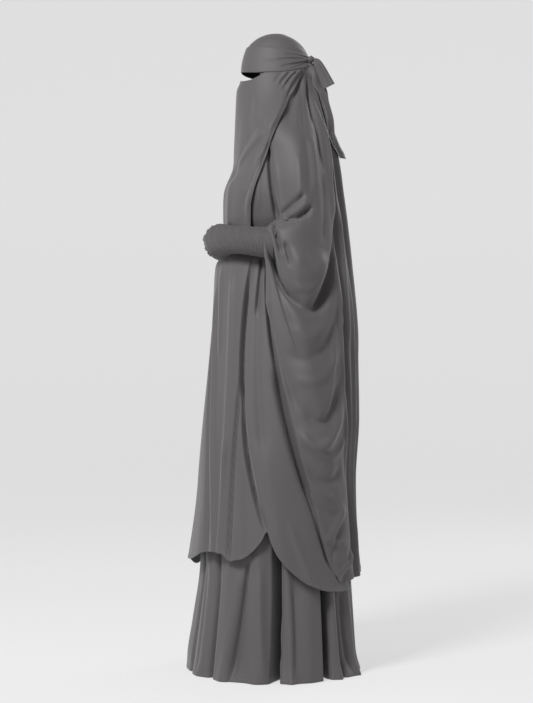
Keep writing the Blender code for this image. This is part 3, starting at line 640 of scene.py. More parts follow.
# Long end: height, angle of the near edge, its stand-off from the drape, direction to the far
# edge, width
LONG_TIE = (
    (1.6360, 158, 0.0050, 205, 0.014),
    (1.6120, 157, 0.0025, 196, 0.033),
    (1.5850, 156, 0.0025, 203, 0.038),
    (1.5410, 157, 0.0025, 222, 0.030),
    (1.4860, 158, 0.0025, 230, 0.036),
    (1.4300, 162, 0.0025, 232, 0.038),
    (1.3800, 168, 0.0030, 232, 0.038),
)
LONG_TIE_CLEARANCE = 0.002
# Flutes of the long end: depth, radians across and along it, share of its length that they grow in
LONG_TIE_FLUTE = 0.0016
LONG_TIE_FLUTE_WAVES = (8.0, 4.0)
LONG_TIE_FLUTE_START = 0.15
LONG_TIE_CURL = 0.004
LONG_TIE_CURL_START = 0.93

# Rows and columns of the fine meshes. The front panel's columns are those of one half. The skirt
# has upper rows, lower rows and columns.
HOOD_GRID = (54, 120)
BAND_GRID = (30, 240)
KNOT_GRID = (44, 72)
SHORT_TIE_GRID = (60, 22)
LONG_TIE_GRID = (110, 24)
VEIL_GRID = (118, 222)
FRONT_GRID = (146, 140)
BACK_GRID = (216, 186)
CUFF_GRID = (186, 200)
SKIRT_GRID = (22, 68, 264)
WAISTBAND_GRID = (13, 270)
LEAST_COUNT = 8
# Lengths that set how much of a piece its hem rows take up
VEIL_LENGTH = 0.46
FRONT_LENGTH = 1.25
BACK_LENGTH = 1.40
# Spacing across the pieces: shares of the half width, and how far columns crowd to the edges
FRONT_COLUMNS = (0.0, 0.072, 0.144, 0.214, 0.284, 0.352, 0.418, 0.482, 0.540, 0.580, 0.615, 0.650, 0.685,
                 0.720, 0.755, 0.790, 0.830, 0.900, 1.0)
DRAPE_CROWDING = 0.58
VEIL_CROWDING = 0.10
# Folds: steps of the curve, how many reaches count, and how a fold fades at its two ends
PATH_STEPS = 12
FOLD_MARGIN = 3.2
FOLD_FADE = 0.22
FOLD_FADE_START = 0.12
RIDGE_POWER = 2.0
TROUGH_POWER = 1.6
# Turned hems: depth, added thickness, the step at their top, and the rows of mesh over them
HEM_DEPTH = 0.012
HEM_LIFT = 0.0007
HEM_STEP = 0.002
HEM_ROWS = 8
HEM_ROOM = 1.3
# The needle line of a hem: its height, depth and width, and how the thread lies in it
NEEDLE_LINE = HEM_DEPTH - 0.003
NEEDLE_GROOVE = 0.0005
NEEDLE_WIDTH = 0.0010
THREAD_SINK = 0.0003
THREAD_LIFT = 0.0001
BAND_STITCH_INSET = 0.004
SLOPE_STEP = 0.002
WELD_DISTANCE = 0.000005

# Crepe: roughness, depth of grain, range of the dye, faint specks, share of pebble to thread
CREPE_ROUGHNESS = 0.60
CREPE_GRAIN = 0.00022
SMOCKED_ROUGHNESS = 0.72
SMOCKED_GRAIN = 0.00035
DYE_DARK = 0.93
DYE_LIGHT = 1.05
SPECKS = 0.10
PEBBLE_SHARE = 1.4
# Sockets of a colour mix: share, first colour, second colour, result
MIX_SHARE = 0
MIX_FIRST = 6
MIX_SECOND = 7
MIX_RESULT = 2

# Soft lights: name, place with its height above the floor, width and length, watts
SOFTBOXES = (
    ("key", (3.8, -2.2, 4.4), (1.2, 1.7), 345),
    ("rim", (-1.0, -4.2, 2.4), (1.2, 1.8), 12),
    ("back", (-3.0, 2.8, 3.0), (1.6, 2.0), 45),
)
LIGHT_AIM_HEIGHT = 0.95
WORLD_LIGHT = 0.15
SENSOR_WIDTH = 36.0
# Paper sweep: radius, radius of its bend, height of its wall
SWEEP_RADIUS = 9.0
SWEEP_BEND = 2.0
SWEEP_TOP = 6.0
SWEEP_TURNS = 96
SWEEP_HOLE = 0.001
SWEEP_BEND_START = 0.1
SWEEP_BEND_STEPS = 12
SWEEP_DROP = 0.0005
PAPER_SHADE = 0.985


def linear(hex_colour, alpha=1.0):
    """An sRGB hex colour as linear RGBA."""
    channels = [int(hex_colour[place:place + 2], 16) / 255 for place in (1, 3, 5)]
    return tuple(c / 12.92 if c <= 0.04045 else ((c + 0.055) / 1.055) ** 2.4 for c in channels) + (alpha,)


class JilbabCloth(bpy.types.PropertyGroup):
    """Sizes and colours of the crepe."""
    cloth_colour: bpy.props.FloatVectorProperty(
        name="Crepe", description="Colour of the crepe in even light", size=4, subtype="COLOR",
        min=0.0, max=1.0, default=linear("#4F4C4E"))
    # The cuffs' colour is the crepe's own colour darkened: painted shade for the shade in their pleats.
    smocked_painted_shade_colour: bpy.props.FloatVectorProperty(
        name="Smocked crepe", description="Colour of the gathered cuffs, darker in their pleats", size=4,
        subtype="COLOR", min=0.0, max=1.0, default=linear("#474446"))
    wall: bpy.props.FloatProperty(
        name="Wall", description="Thickness of the cloth shell", default=0.0010,
        min=0.0005, max=0.002, subtype="DISTANCE", unit="LENGTH")
    fineness: bpy.props.FloatProperty(
        name="Fineness", description="Rows and columns of the cloth meshes, as a share of the full number",
        default=1.0, min=0.1, max=1.0, subtype="FACTOR")


class JilbabStitching(bpy.types.PropertyGroup):
    """Sizes of the sewing."""
    pitch: bpy.props.FloatProperty(
        name="Pitch", description="Distance from one stitch to the next", default=0.0036,
        min=0.001, max=0.01, subtype="DISTANCE", unit="LENGTH")
    length: bpy.props.FloatProperty(
        name="Stitch length", description="Length of one stitch", default=0.0027,
        min=0.0005, max=0.01, subtype="DISTANCE", unit="LENGTH")
    thread: bpy.props.FloatProperty(
        name="Thread", description="Radius of the sewing thread", default=0.00022,
        min=0.0001, max=0.001, subtype="DISTANCE", unit="LENGTH")


class JilbabStage(bpy.types.PropertyGroup):
    """Camera and studio."""
    camera_distance: bpy.props.FloatProperty(
        name="Camera distance", description="Distance of the camera from the garment's middle", default=5.1,
        min=1.0, max=20.0, subtype="DISTANCE", unit="LENGTH")
    camera_height: bpy.props.FloatProperty(
        name="Camera height", description="Height of the camera above the floor", default=0.857,
        min=0.0, max=5.0, subtype="DISTANCE", unit="LENGTH")
    aim: bpy.props.FloatProperty(
        name="Aim", description="Place along the side of the garment that the camera faces", default=-0.0285,
        min=-1.0, max=1.0, subtype="DISTANCE", unit="LENGTH")
    lens: bpy.props.FloatProperty(
        name="Lens", description="Focal length in millimetres", default=96.0, min=20.0, max=300.0)
    backdrop: bpy.props.FloatVectorProperty(
        name="Backdrop", description="Colour of the studio paper", size=4, subtype="COLOR",
        min=0.0, max=1.0, default=linear("#848484"))
    glow: bpy.props.FloatProperty(
        name="Glow", description="Even light that the surrounding paper gives back", default=0.585,
        min=0.0, max=1.0)


def smooth_lookup(known, values, wanted):
    """Read a table at the wanted places through a smooth curve that never overshoots its rows."""
    known = np.asarray(known, dtype=float)
    values = np.asarray(values, dtype=float)
    order = np.argsort(known)
    known = known[order]
    values = values[order]
    gaps = np.diff(known)
    slopes = np.diff(values) / gaps
    tangents = np.zeros_like(values)
    tangents[0] = slopes[0]
    tangents[-1] = slopes[-1]
    before = slopes[:-1]
    after = slopes[1:]
    same_way = before * after > 0
    tangents[1:-1] = np.where(same_way, 2 * before * after / np.where(same_way, before + after, 1.0), 0.0)
    wanted = np.clip(np.asarray(wanted, dtype=float), known[0], known[-1])
    index = np.clip(np.searchsorted(known, wanted) - 1, 0, len(gaps) - 1)
    share = (wanted - known[index]) / gaps[index]
    square = share * share
    cube = square * share
    return ((2 * cube - 3 * square + 1) * values[index]
            + (cube - 2 * square + share) * gaps[index] * tangents[index]
            + (3 * square - 2 * cube) * values[index + 1]
            + (cube - square) * gaps[index] * tangents[index + 1])


def read(table, place, number):
    """A column of a table at a place in its first column."""
    return smooth_lookup([row[0] for row in table], [row[number] for row in table], place)


def ease(share):
    """From 0 to 1 along a soft S."""
    share = np.clip(share, 0.0, 1.0)
    return share * share * (3 - 2 * share)


def wrapped(angle):
    """An angle as -180 to 180, so that left and right can be told apart."""
    return (np.asarray(angle, dtype=float) + 180.0) % 360.0 - 180.0


def ring_radius(sections, height, angle):
    """Distance from the vertical axis to a two-radius oval at an angle."""
    turn = np.radians(angle)
    reach = np.where(np.cos(turn) > 0, read(sections, height, 1), read(sections, height, 2))
    half = read(sections, height, 3)
    return 1.0 / np.sqrt((np.sin(turn) / half) ** 2 + (np.cos(turn) / reach) ** 2)


def fold_relief(folds, angle, height, radius):
    """Sum of the folds: each a bell across its curve, rounder as a ridge than as a trough."""
    relief = np.zeros_like(height)
    steps = np.linspace(0.0, 1.0, PATH_STEPS + 1)
    scale = radius * math.pi / 180
    for start, pull, end, depth, reach, lean in folds:
        across, upright = (bent_line(steps, start[n], pull[n], end[n]) for n in (0, 1))
        margin = FOLD_MARGIN * reach
        near = ((height > upright.min() - margin) & (height < upright.max() + margin)
                & ((angle - across.min()) * scale > -margin) & ((angle - across.max()) * scale < margin))
        if not near.any():
            continue
        distance, share, side = nearest_on_path(angle[near], height[near], scale[near], across, upright)
        fade = ease(np.minimum(share, 1 - share) / FOLD_FADE + FOLD_FADE_START)
        width = reach * (1 + lean * side)
        power = RIDGE_POWER if depth > 0 else TROUGH_POWER
        relief[near] += depth * fade * np.exp(-(distance / width) ** power)
    return relief


def bent_line(share, start, pull, end):
    """A curve from start to end, drawn towards the pull."""
    return (1 - share) ** 2 * start + 2 * share * (1 - share) * pull + share ** 2 * end


def nearest_on_path(angle, height, scale, across, upright):
    """Distance of each point to a path, the share of the path there, and the point's side of it."""
    best = np.full(angle.shape, np.inf)
    share = np.zeros_like(best)
    side = np.ones_like(best)
    for step in range(PATH_STEPS):
        run_x = (across[step + 1] - across[step]) * scale
        run_y = upright[step + 1] - upright[step]
        to_x = (angle - across[step]) * scale
        to_y = height - upright[step]
        along = np.clip((to_x * run_x + to_y * run_y) / (run_x ** 2 + run_y ** 2 + 1e-12), 0.0, 1.0)
        distance = np.hypot(to_x - along * run_x, to_y - along * run_y)
        closer = distance < best
        best = np.where(closer, distance, best)
        share = np.where(closer, (step + along) / PATH_STEPS, share)
        side = np.where(closer, np.sign(to_x * run_y - to_y * run_x), side)
    return best, share, side


def both_sides(folds, angle, height, radius, uneven=1.0):
    """Folds tabled for the left side, with like ones on the right that stand and hang otherwise."""
    left = fold_relief(folds, angle, height, radius)
    swung = uneven * RIGHT_SWING * np.sin(RIGHT_SWING_RATE * height + RIGHT_SWING_PHASE)
    lowered = height + RIGHT_DROP + RIGHT_UNEVEN_DROP * uneven
    return left + RIGHT_SOFTNESS * fold_relief(folds, swung - angle, lowered, radius)


def hanging(angle, height, top, depth=1.0):
    """Faint long waves that grow down the hang of the cloth."""
    growth = depth * (WAVE_TOP_SHARE + (1 - WAVE_TOP_SHARE) * ease((top - height) / WAVE_GROWTH))
    waves = np.zeros_like(height)
    for count, phase, drift, size in HANGING_WAVES:
        waves += size * np.sin(np.radians(angle * count + phase) + drift * height)
    return growth * waves


def front_radius(height, angle):
    """The front panel with its folds and waves."""
    base = ring_radius(FRONT_SECTIONS, height, angle)
    folds = both_sides(FRONT_FOLDS, angle, height, base) + both_sides(FRONT_CREASES, angle, height, base)
    return base + folds + hanging(angle, height, FRONT_WAVE_TOP)


def front_surface(height, angle):
    """The front panel with its hollows under the drape's edge."""
    panel = front_radius(height, angle)
    return panel + both_sides(FRONT_POCKETS, angle, height, panel, 0.0)


def drape_radius(height, angle):
    """The outside drape, drawn in towards the front panel along its front edges."""
    side = np.abs(wrapped(angle))
    right = wrapped(angle) < 0
    full = ring_radius(DRAPE_SECTIONS, height, angle)
    panel = front_radius(height, wrapped(angle))
    edge = read(DRAPE_EDGE, height, 1)
    stand_off = read(DRAPE_EDGE, height, 2)
    from_edge = np.radians(side - edge) * full
    opened = stand_off + (1 - stand_off) * ease(from_edge / EDGE_EASE)
    blended = panel + (full - panel) * opened
    creases = fold_relief(DRAPE_CREASES, side + RIGHT_CREASE_TURN * right,
                          height + RIGHT_CREASE_DROP * right, full)
    relief = fold_relief(DRAPE_FOLDS, side, height, full) + creases
    softened = np.where(right, RIGHT_SOFTNESS, 1.0)
    near_edge = EDGE_FOLD_SHARE + (1 - EDGE_FOLD_SHARE) * ease(from_edge / EDGE_FOLD_REACH)
    waves = hanging(angle, height, DRAPE_WAVE_TOP) * ease(from_edge / EDGE_WAVE_REACH)
    shaped = blended + relief * softened * near_edge + waves - edge_roll(height, from_edge)
    body = height < FRONT_SECTIONS[0][0]
    return np.where(body, np.maximum(shaped, panel + DRAPE_ABOVE_PANEL), shaped)


def edge_roll(height, from_edge):
    """How far the drape's front edge is rolled in."""
    roll = EDGE_ROLL * np.exp(-(np.maximum(from_edge, 0.0) / EDGE_ROLL_REACH) ** 2)
    below_top = ease((FRONT_SECTIONS[0][0] - height) / ROLL_FADE)
    above_hem = ROLL_LOW_SHARE + (1 - ROLL_LOW_SHARE) * ease((height - ROLL_LOW_HEIGHT) / ROLL_FADE)
    return roll * below_top * above_hem


def smooth_maximum(first, second, blend):
    """The larger of two surfaces, with their meeting line rounded."""
    return 0.5 * (first + second + np.sqrt((first - second) ** 2 + blend ** 2))


def wall_across(surface, height, angle, wall):
    """Thickness of a wall measured towards the axis, which grows where the cloth slopes."""
    radius = surface(height, angle)
    down = (surface(height + SLOPE_STEP, angle) - surface(height - SLOPE_STEP, angle)) / (2 * SLOPE_STEP)
    turn = np.degrees(SLOPE_STEP / radius)
    across = (surface(height, angle + turn) - surface(height, angle - turn)) / (2 * SLOPE_STEP)
    return wall * np.sqrt(1 + down ** 2 + across ** 2)


def veil_radius(height, angle):
    """The face veil, which lies on the body and rises over the drape's front edges."""
    base = ring_radius(VEIL_SECTIONS, height, angle)
    folds = both_sides(VEIL_FOLDS, angle, height, base) + both_sides(VEIL_CREASES, angle, height, base)
    base = base + hanging(angle, height, DRAPE_WAVE_TOP, VEIL_WAVES)
    edge = read(DRAPE_EDGE, height, 1)
    over_drape = ease((np.abs(angle) - edge + VEIL_RISE_START) / VEIL_RISE_REACH)
    under = drape_radius(height, angle)
    inner = np.where(height > FRONT_SECTIONS[0][0], base - VEIL_ABOVE_BODY, front_radius(height, angle))
    lowest = inner + np.maximum(under - inner, 0.0) * over_drape
    wall = wall_across(drape_radius, height, angle, VEIL_UNDER_WALL)
    clearance = np.clip(wall, *VEIL_CLEARANCE) + VEIL_LAYER_GAP
    to_edge = np.radians(read(VEIL_EDGE, height, 1) - np.abs(angle)) * base
    lift = VEIL_LIFT * np.exp(-(to_edge / VEIL_LIFT_REACH) ** 2)
    lift = lift * ease((VEIL_LIFT_HEIGHT - height) / VEIL_LIFT_FADE)
    roll = VEIL_ROLL * np.exp(-(to_edge / VEIL_ROLL_REACH) ** 2)
    shaped = smooth_maximum(base, lowest + clearance, VEIL_BLEND) + folds + lift - roll
    return smooth_maximum(shaped, lowest + VEIL_LIMIT, VEIL_LIMIT_BLEND)


def skirt_radius(height, angle):
    """The skirt with its folds, spread on the floor and kept inside the front panel."""
    side = wrapped(angle)
    base = ring_radius(SKIRT_SECTIONS, height, angle)
    relief = np.zeros_like(base)
    for centre, depth, reach, start in SKIRT_FOLDS:
        sway = SKIRT_SWAY * np.sin(SKIRT_SWAY_RATE * height + centre)
        away = np.radians(wrapped(angle - centre - sway)) * base
        growth = ease((start - height) / start)
        relief += depth * growth * np.exp(-(np.abs(away) / reach) ** skirt_fold_power(depth))
    cross = fold_relief(SKIRT_CROSS_FOLDS, side, height, base)
    near_floor = ease((FLOOR_FLARE_HEIGHT - height) / FLOOR_FLARE_HEIGHT) ** FLOOR_FLARE_POWER
    flare = sum(depth * np.exp(-(wrapped(angle - centre) / reach) ** 2)
                for centre, reach, depth in FLOOR_SPREAD)
    shaped = base + relief + cross + hanging(angle, height, SKIRT_WAVE_TOP) + flare * near_floor
    inside_front = front_surface(height, side) - UNDER_PANEL_GAP
    covered = ((height > FRONT_HEM[0][1] - COVERED_BELOW_HEM) & (height < COVERED_TOP)
               & (np.abs(side) < COVERED_ANGLE))
    return np.where(covered, np.minimum(shaped, inside_front), shaped)


def skirt_fold_power(depth):
    """Steepness of a skirt fold's sides."""
    if depth > 0:
        return RIDGE_POWER
    return SKIRT_TROUGH_POWER if depth > DEEP_RECESS else DEEP_RECESS_POWER


def turned_under(height, angle, radius):
    """Angles of the skirt's points, swung back where a deep fold runs in under its neighbour."""
    depth = ring_radius(SKIRT_SECTIONS, height, angle) - radius
    inside = np.clip(depth - FOLD_SLANT_START, 0.0, None)
    return angle + np.degrees(FOLD_SLANT * inside / SKIRT_SECTIONS[-1][3])


def hood_radius(height, angle):
    """The dome rounds off to nothing at the crown."""
    lowest_row = DRAPE_SECTIONS[0][0]
    rounding = np.sqrt(np.clip((CROWN_HEIGHT - height) / (CROWN_HEIGHT - lowest_row), 0.0, 1.0))
    return ring_radius(DRAPE_SECTIONS, height, angle) * rounding


def band_radius(height, angle):
    """The tied band over the hood, with its gathers and its rolled upper edge."""
    side = np.abs(wrapped(angle))
    base = hood_radius(height, angle) + BAND_STAND_OFF
    gathered = BAND_GATHER * ease((side - BAND_GATHER_ANGLE) / BAND_GATHER_ANGLE)
    below_edge = read(BAND_EDGES, side, 1) - height
    roll = BAND_ROLL * np.exp(-(below_edge / BAND_ROLL_REACH) ** 2)
    roll = roll * (1 - ease((side - BAND_ROLL_ANGLE) / BAND_ROLL_FADE))
    return base + gathered + roll + fold_relief(BAND_FOLDS, side, height, base)


def to_point(radius, angle, height):
    """Points of the scene at a distance from the axis, an angle and a height above the floor."""
    turn = np.radians(angle)
    return np.stack([radius * np.sin(turn), -radius * np.cos(turn), height - ORIGIN_HEIGHT], axis=-1)


def hem_height(table, angle):
    """Height of a hem at an angle. The front hem hangs lower at one corner."""
    height = read(table, np.abs(wrapped(angle)), 1)
    centre, reach, drop = LOWER_CORNER
    if table is FRONT_HEM:
        height = height - drop * np.exp(-((wrapped(angle) - centre) / reach) ** 2)
    return height


def hem_rows(length):
    """Row shares close together over the hem of a piece of this length."""
    return np.linspace(1.0 - HEM_DEPTH * HEM_ROOM / length, 1.0, HEM_ROWS)


def rows_to_hem(count, length):
    """Row shares from top to bottom, with the last few close together over the hem."""
    hem = hem_rows(length)
    return np.concatenate([np.linspace(0.0, hem[0], count), hem[1:]])


def crowded(even):
    """A wave that draws even shares together at whole numbers, to be taken off them."""
    return np.sin(2 * math.pi * even) / (2 * math.pi)


def hem_fold(above):
    """Extra thickness of the turned-up hem, with the needle line's groove."""
    turned = HEM_LIFT * (1 - ease((above - HEM_DEPTH + HEM_STEP) / HEM_STEP))
    return turned - NEEDLE_GROOVE * np.exp(-((above - NEEDLE_LINE) / NEEDLE_WIDTH) ** 2)


def grid_mesh(name, points, closed=False):
    """A mesh through rows of points with UVs in metres along and down the cloth."""
    rows, columns = points.shape[:2]
    faces_round = columns if closed else columns - 1
    row, place = np.meshgrid(np.arange(rows - 1), np.arange(faces_round), indexing="ij")
    after = (place + 1) % columns
    corners = np.stack([row * columns + place, (row + 1) * columns + place,
                        (row + 1) * columns + after, row * columns + after], axis=-1).reshape(-1, 4)
    mesh = bpy.data.meshes.new(name)
    mesh.vertices.add(rows * columns)
    mesh.vertices.foreach_set("co", points.reshape(-1).astype(np.float32))
    mesh.loops.add(corners.size)
    mesh.loops.foreach_set("vertex_index", corners.reshape(-1).astype(np.int32))
    mesh.polygons.add(len(corners))
    mesh.polygons.foreach_set("loop_start", (np.arange(len(corners)) * 4).astype(np.int32))
    mesh.update(calc_edges=True)
    across = np.linalg.norm(np.diff(points, axis=1, append=points[:, :1]), axis=-1)
    u = np.concatenate([np.zeros((rows, 1)), np.cumsum(across, axis=1)], axis=1)
    v = np.concatenate([points[..., 2], points[:, :1, 2]], axis=1)
    next_place = place + 1
    uv = np.stack([
        np.stack([u[row, place], v[row, place]], -1), np.stack([u[row + 1, place], v[row + 1, place]], -1),
        np.stack([u[row + 1, next_place], v[row + 1, next_place]], -1),
        np.stack([u[row, next_place], v[row, next_place]], -1)], axis=2)
    layer = mesh.uv_layers.new(name="cloth")
    layer.data.foreach_set("uv", uv.reshape(-1).astype(np.float32))
    mesh.shade_smooth()
    mesh.validate()
    return mesh


def add_piece(name, mesh, material, nodes=()):
    """Put a finished mesh in the scene, riding on the garment and standing for its CAD nodes."""
    mesh.materials.clear()
    mesh.materials.append(material)
    piece = bpy.data.objects.new(name, mesh)
    bpy.context.scene.collection.objects.link(piece)
    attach(piece, BODY)
    if nodes:
        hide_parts(*nodes)
    return piece


def cloth_piece(name, points, solid, closed=False, wall=None):
    """A thin shell of crepe through rows of outer points, which stands for one CAD solid."""
    piece = add_piece(name, grid_mesh(name, points, closed), crepe(), (solid,))
    shell = piece.modifiers.new("wall", "SOLIDIFY")
    shell.thickness = wall or bpy.context.scene.jilbab_cloth.wall
    shell.offset = -1.0
    shell.use_rim = True
    shell.use_quality_normals = True
    return piece


def fine(grid):
    """Rows and columns of a mesh at the chosen fineness."""
    fineness = bpy.context.scene.jilbab_cloth.fineness
    return [max(LEAST_COUNT, int(count * fineness)) for count in grid]


def node(tree, kind, links=(), **settings):
    """Add a shader or geometry node, set its properties or inputs, and link its inputs."""
    item = tree.nodes.new(kind)
    for name, value in settings.items():
        if hasattr(item, name):
            setattr(item, name, value)
        else:
            item.inputs[name.replace("_", " ")].default_value = value
    for target, source in links:
        tree.links.new(source, item.inputs[target])
    return item


def kept_material(name, make, *settings):
    """The material of this name, made on its first use."""
    return bpy.data.materials.get(name) or make(name, *settings)


def plain_material(name):
    """A new material with its node tree and shader."""
    material = bpy.data.materials.new(name)
    material.use_nodes = True
    return material, material.node_tree, material.node_tree.nodes["Principled BSDF"]


def set_inputs(shader, **values):
    """Set inputs by name, with an underscore for each space."""
    for name, value in values.items():
        shader.inputs[name.replace("_", " ")].default_value = value


def blend_colours(tree, share, first, second):
    """Output that runs from one colour to the other."""
    mix = node(tree, "ShaderNodeMix", data_type="RGBA")
    mix.inputs[MIX_FIRST].default_value = first
    mix.inputs[MIX_SECOND].default_value = second
    tree.links.new(share, mix.inputs[MIX_SHARE])
    return mix.outputs[MIX_RESULT]


def crepe():
    """Matt crepe: high-twist yarn gives a pebbled face, a soft bloom at grazing angles, no shine."""
    colour = bpy.context.scene.jilbab_cloth.cloth_colour
    return kept_material("woven_crepe", crepe_cloth, colour, CREPE_ROUGHNESS, CREPE_GRAIN)


def smocked_crepe_painted_shade():
    """The same crepe drawn up on elastic thread, in a darker colour that is painted shade for its pleats."""
    # A darker copy of the crepe's colour, as painted shade of the pleats.
    colour = bpy.context.scene.jilbab_cloth.smocked_painted_shade_colour
    return kept_material("shirred_crepe", crepe_cloth, colour, SMOCKED_ROUGHNESS, SMOCKED_GRAIN)


def crepe_cloth(name, colour, roughness, grain_depth):
    """Build a crepe: an uneven dye with fine specks, and pebble and threads as bump."""
    material, tree, shader = plain_material(name)
    place = node(tree, "ShaderNodeTexCoord")
    # Crepe pebble is about 0.5 mm across. It is drawn at 1.2 mm so that it shows at this distance.
    pebble = node(tree, "ShaderNodeTexNoise", [("Vector", place.outputs["Object"])],
                  Scale=820.0, Detail=2.0, Roughness=0.55)
    # Slanting ribs 4 mm apart, broken up by noise, stand for the threads for the same reason
    threads = node(tree, "ShaderNodeTexWave", [("Vector", place.outputs["UV"])],
                   wave_type="BANDS", bands_direction="DIAGONAL", Scale=115.0, Distortion=3.0,
                   Detail=2.0, Detail_Scale=2.0)
    # Slow unevenness of the dye, some 14 cm across
    dye = node(tree, "ShaderNodeTexNoise", [("Vector", place.outputs["Object"])],
               Scale=7.0, Detail=3.0, Roughness=0.5)
    darker = tuple(c * DYE_DARK for c in colour[:3]) + (1.0,)
    lighter = tuple(min(1.0, c * DYE_LIGHT) for c in colour[:3]) + (1.0,)
    tone = blend_colours(tree, dye.outputs["Fac"], darker, lighter)
    speck = node(tree, "ShaderNodeMix", data_type="RGBA", blend_type="MULTIPLY")
    speck.inputs[MIX_SHARE].default_value = SPECKS
    tree.links.new(tone, speck.inputs[MIX_FIRST])
    tree.links.new(pebble.outputs["Color"], speck.inputs[MIX_SECOND])
    tree.links.new(speck.outputs[MIX_RESULT], shader.inputs["Base Color"])
    grain = node(tree, "ShaderNodeMath", [(0, pebble.outputs["Fac"]), (2, threads.outputs["Fac"])],
                 operation="MULTIPLY_ADD")
    grain.inputs[1].default_value = PEBBLE_SHARE
    bump = node(tree, "ShaderNodeBump", [("Height", grain.outputs[0])], Strength=0.35, Distance=grain_depth)
    tree.links.new(bump.outputs["Normal"], shader.inputs["Normal"])
    set_inputs(shader, Roughness=roughness, Metallic=0.0, IOR=1.50, Specular_IOR_Level=0.32,
               Sheen_Weight=0.22, Sheen_Roughness=0.45)
    return material


def thread():
    """Polyester sewing thread, spun and slightly lustrous, a shade lighter than the cloth."""
    return kept_material("polyester_thread", spun_thread)


def spun_thread(name):
    """Build the thread, with bands of painted highlight and shade along the twist of its plies."""
    material, tree, shader = plain_material(name)
    place = node(tree, "ShaderNodeTexCoord")
    # Light and dark bands along the twist are painted highlight and shade of the plies.
    ply_light_and_shade = node(tree, "ShaderNodeTexWave", [("Vector", place.outputs["Object"])], Scale=600.0, Distortion=1.0)
    shade = blend_colours(tree, ply_light_and_shade.outputs["Fac"], linear("#6A676A"), linear("#7C797C"))
    tree.links.new(shade, shader.inputs["Base Color"])
    set_inputs(shader, Roughness=0.5)
    return material


def hood_points():
    """Rings of the hood from just under the crown to its seam below the band."""
    rows, columns = fine(HOOD_GRID)
    share = np.linspace(HOOD_FIRST_ROW, 1.0, rows) ** HOOD_ROW_POWER
    top = CROWN_HEIGHT - HOOD_TOP_GAP
    heights = top - (top - HOOD_SEAM_HEIGHT) * share
    angles = np.linspace(0.0, 360.0, columns, endpoint=False)
    height = heights[:, None] + np.zeros_like(angles)
    angle = angles[None, :] + np.zeros_like(height)
    radius = hood_radius(height, angle)
    radius = radius + fold_relief(HOOD_FOLDS, np.abs(wrapped(angle)), height, radius)
    points = to_point(radius, angle, height)
    step = UNDER_HOOD_STEP * (1 - ease((points[..., 1] - UNDER_HOOD_PLACE) / UNDER_HOOD_REACH))
    outward = points - np.array([0.0, 0.0, HEAD_CENTRE_HEIGHT - ORIGIN_HEIGHT])
    outward /= np.linalg.norm(outward, axis=-1, keepdims=True)
    return points + outward * step[..., None]


def band_points():
    """Rows round the band from its upper to its lower edge, both rounded."""
    rows, columns = fine(BAND_GRID)
    angles = np.linspace(0.0, 360.0, columns, endpoint=False)
    side = np.abs(wrapped(angles))
    upper = read(BAND_EDGES, side, 1)
    lower = read(BAND_EDGES, side, 2)
    share = np.linspace(0.0, 1.0, rows)[:, None]
    height = upper + (lower - upper) * share
    angle = angles[None, :] + np.zeros_like(height)
    edge = np.minimum(share, 1 - share) * (upper - lower)
    rounded = BAND_EDGE_ROUND * np.exp(-(edge / BAND_EDGE_REACH) ** 2)
    return to_point(band_radius(height, angle) - rounded, angle, height)


def close_top(piece, count):
    """Close the hole at the crown with a fan from its ring of points to one point."""
    shape = bmesh.new()
    shape.from_mesh(piece.data)
    shape.verts.ensure_lookup_table()
    ring = [shape.verts[place] for place in range(count)]
    crown = shape.verts.new((0.0, 0.0, CROWN_HEIGHT - ORIGIN_HEIGHT))
    for place in range(count):
        face = shape.faces.new((crown, ring[place], ring[(place + 1) % count]))
        face.smooth = True
    shape.to_mesh(piece.data)
    shape.free()


class JILBAB_OT_hood(bpy.types.Operator):
    """Stretch the hood over the head and lay the gathered band round it"""
    bl_idname = "jilbab.hood"
    bl_label = "Hood and band"

    def execute(self, context):
        points = hood_points()
        hood = cloth_piece("hood", points, "hood_crown", closed=True)
        close_top(hood, points.shape[1])
        band = cloth_piece("band", band_points(), "headband", closed=True, wall=BAND_WALL)
        return {"FINISHED"}


def knot_points():
    """A tight knot: a wrapped loop round a core, with the tie's pleats running over it."""
    rows, columns = fine(KNOT_GRID)
    turn = np.linspace(0.0, 2 * math.pi, columns, endpoint=False)
    tilt = np.linspace(KNOT_POLE, math.pi - KNOT_POLE, rows)
    round_about, down = np.meshgrid(turn, tilt)
    x = np.sin(down) * np.cos(round_about)
    y = np.sin(down) * np.sin(round_about)
    z = np.cos(down)
    about = np.arctan2(z, y)
    girth = 1 + sum(change * np.exp(-((x - place) / reach) ** 2) for place, reach, change in KNOT_PINCHES)
    pleats = 1 + sum(depth * np.sin(count * about + twist * x) for count, twist, depth in KNOT_PLEATS)
    across = KNOT_RADII[0] * x
    outward = KNOT_RADII[1] * y * girth * pleats
    upright = KNOT_RADII[2] * z * girth * pleats
    turned = np.radians(KNOT_ANGLE - 180)
    points = np.stack([across * np.cos(turned) - outward * np.sin(turned),
                       across * np.sin(turned) + outward * np.cos(turned), upright], axis=-1)
    band = float(hood_radius(np.array([KNOT_HEIGHT]), np.array([KNOT_ANGLE]))[0]) + BAND_STAND_OFF
    return points + to_point(band + KNOT_RADII[1] - KNOT_SUNK, KNOT_ANGLE, KNOT_HEIGHT)


def strip_points(middle, across, half, crest, columns):
    """A strip of cloth along a line of middles, folded softly along its length."""
    share = np.linspace(-1.0, 1.0, columns)
    bend = sum(size * np.cos(count * math.pi * share) for count, size in TIE_FOLDS)
    return (middle[:, None, :] + across[:, None, :] * (half[:, None, None] * share[None, :, None])
            + crest * bend[None, :, None])


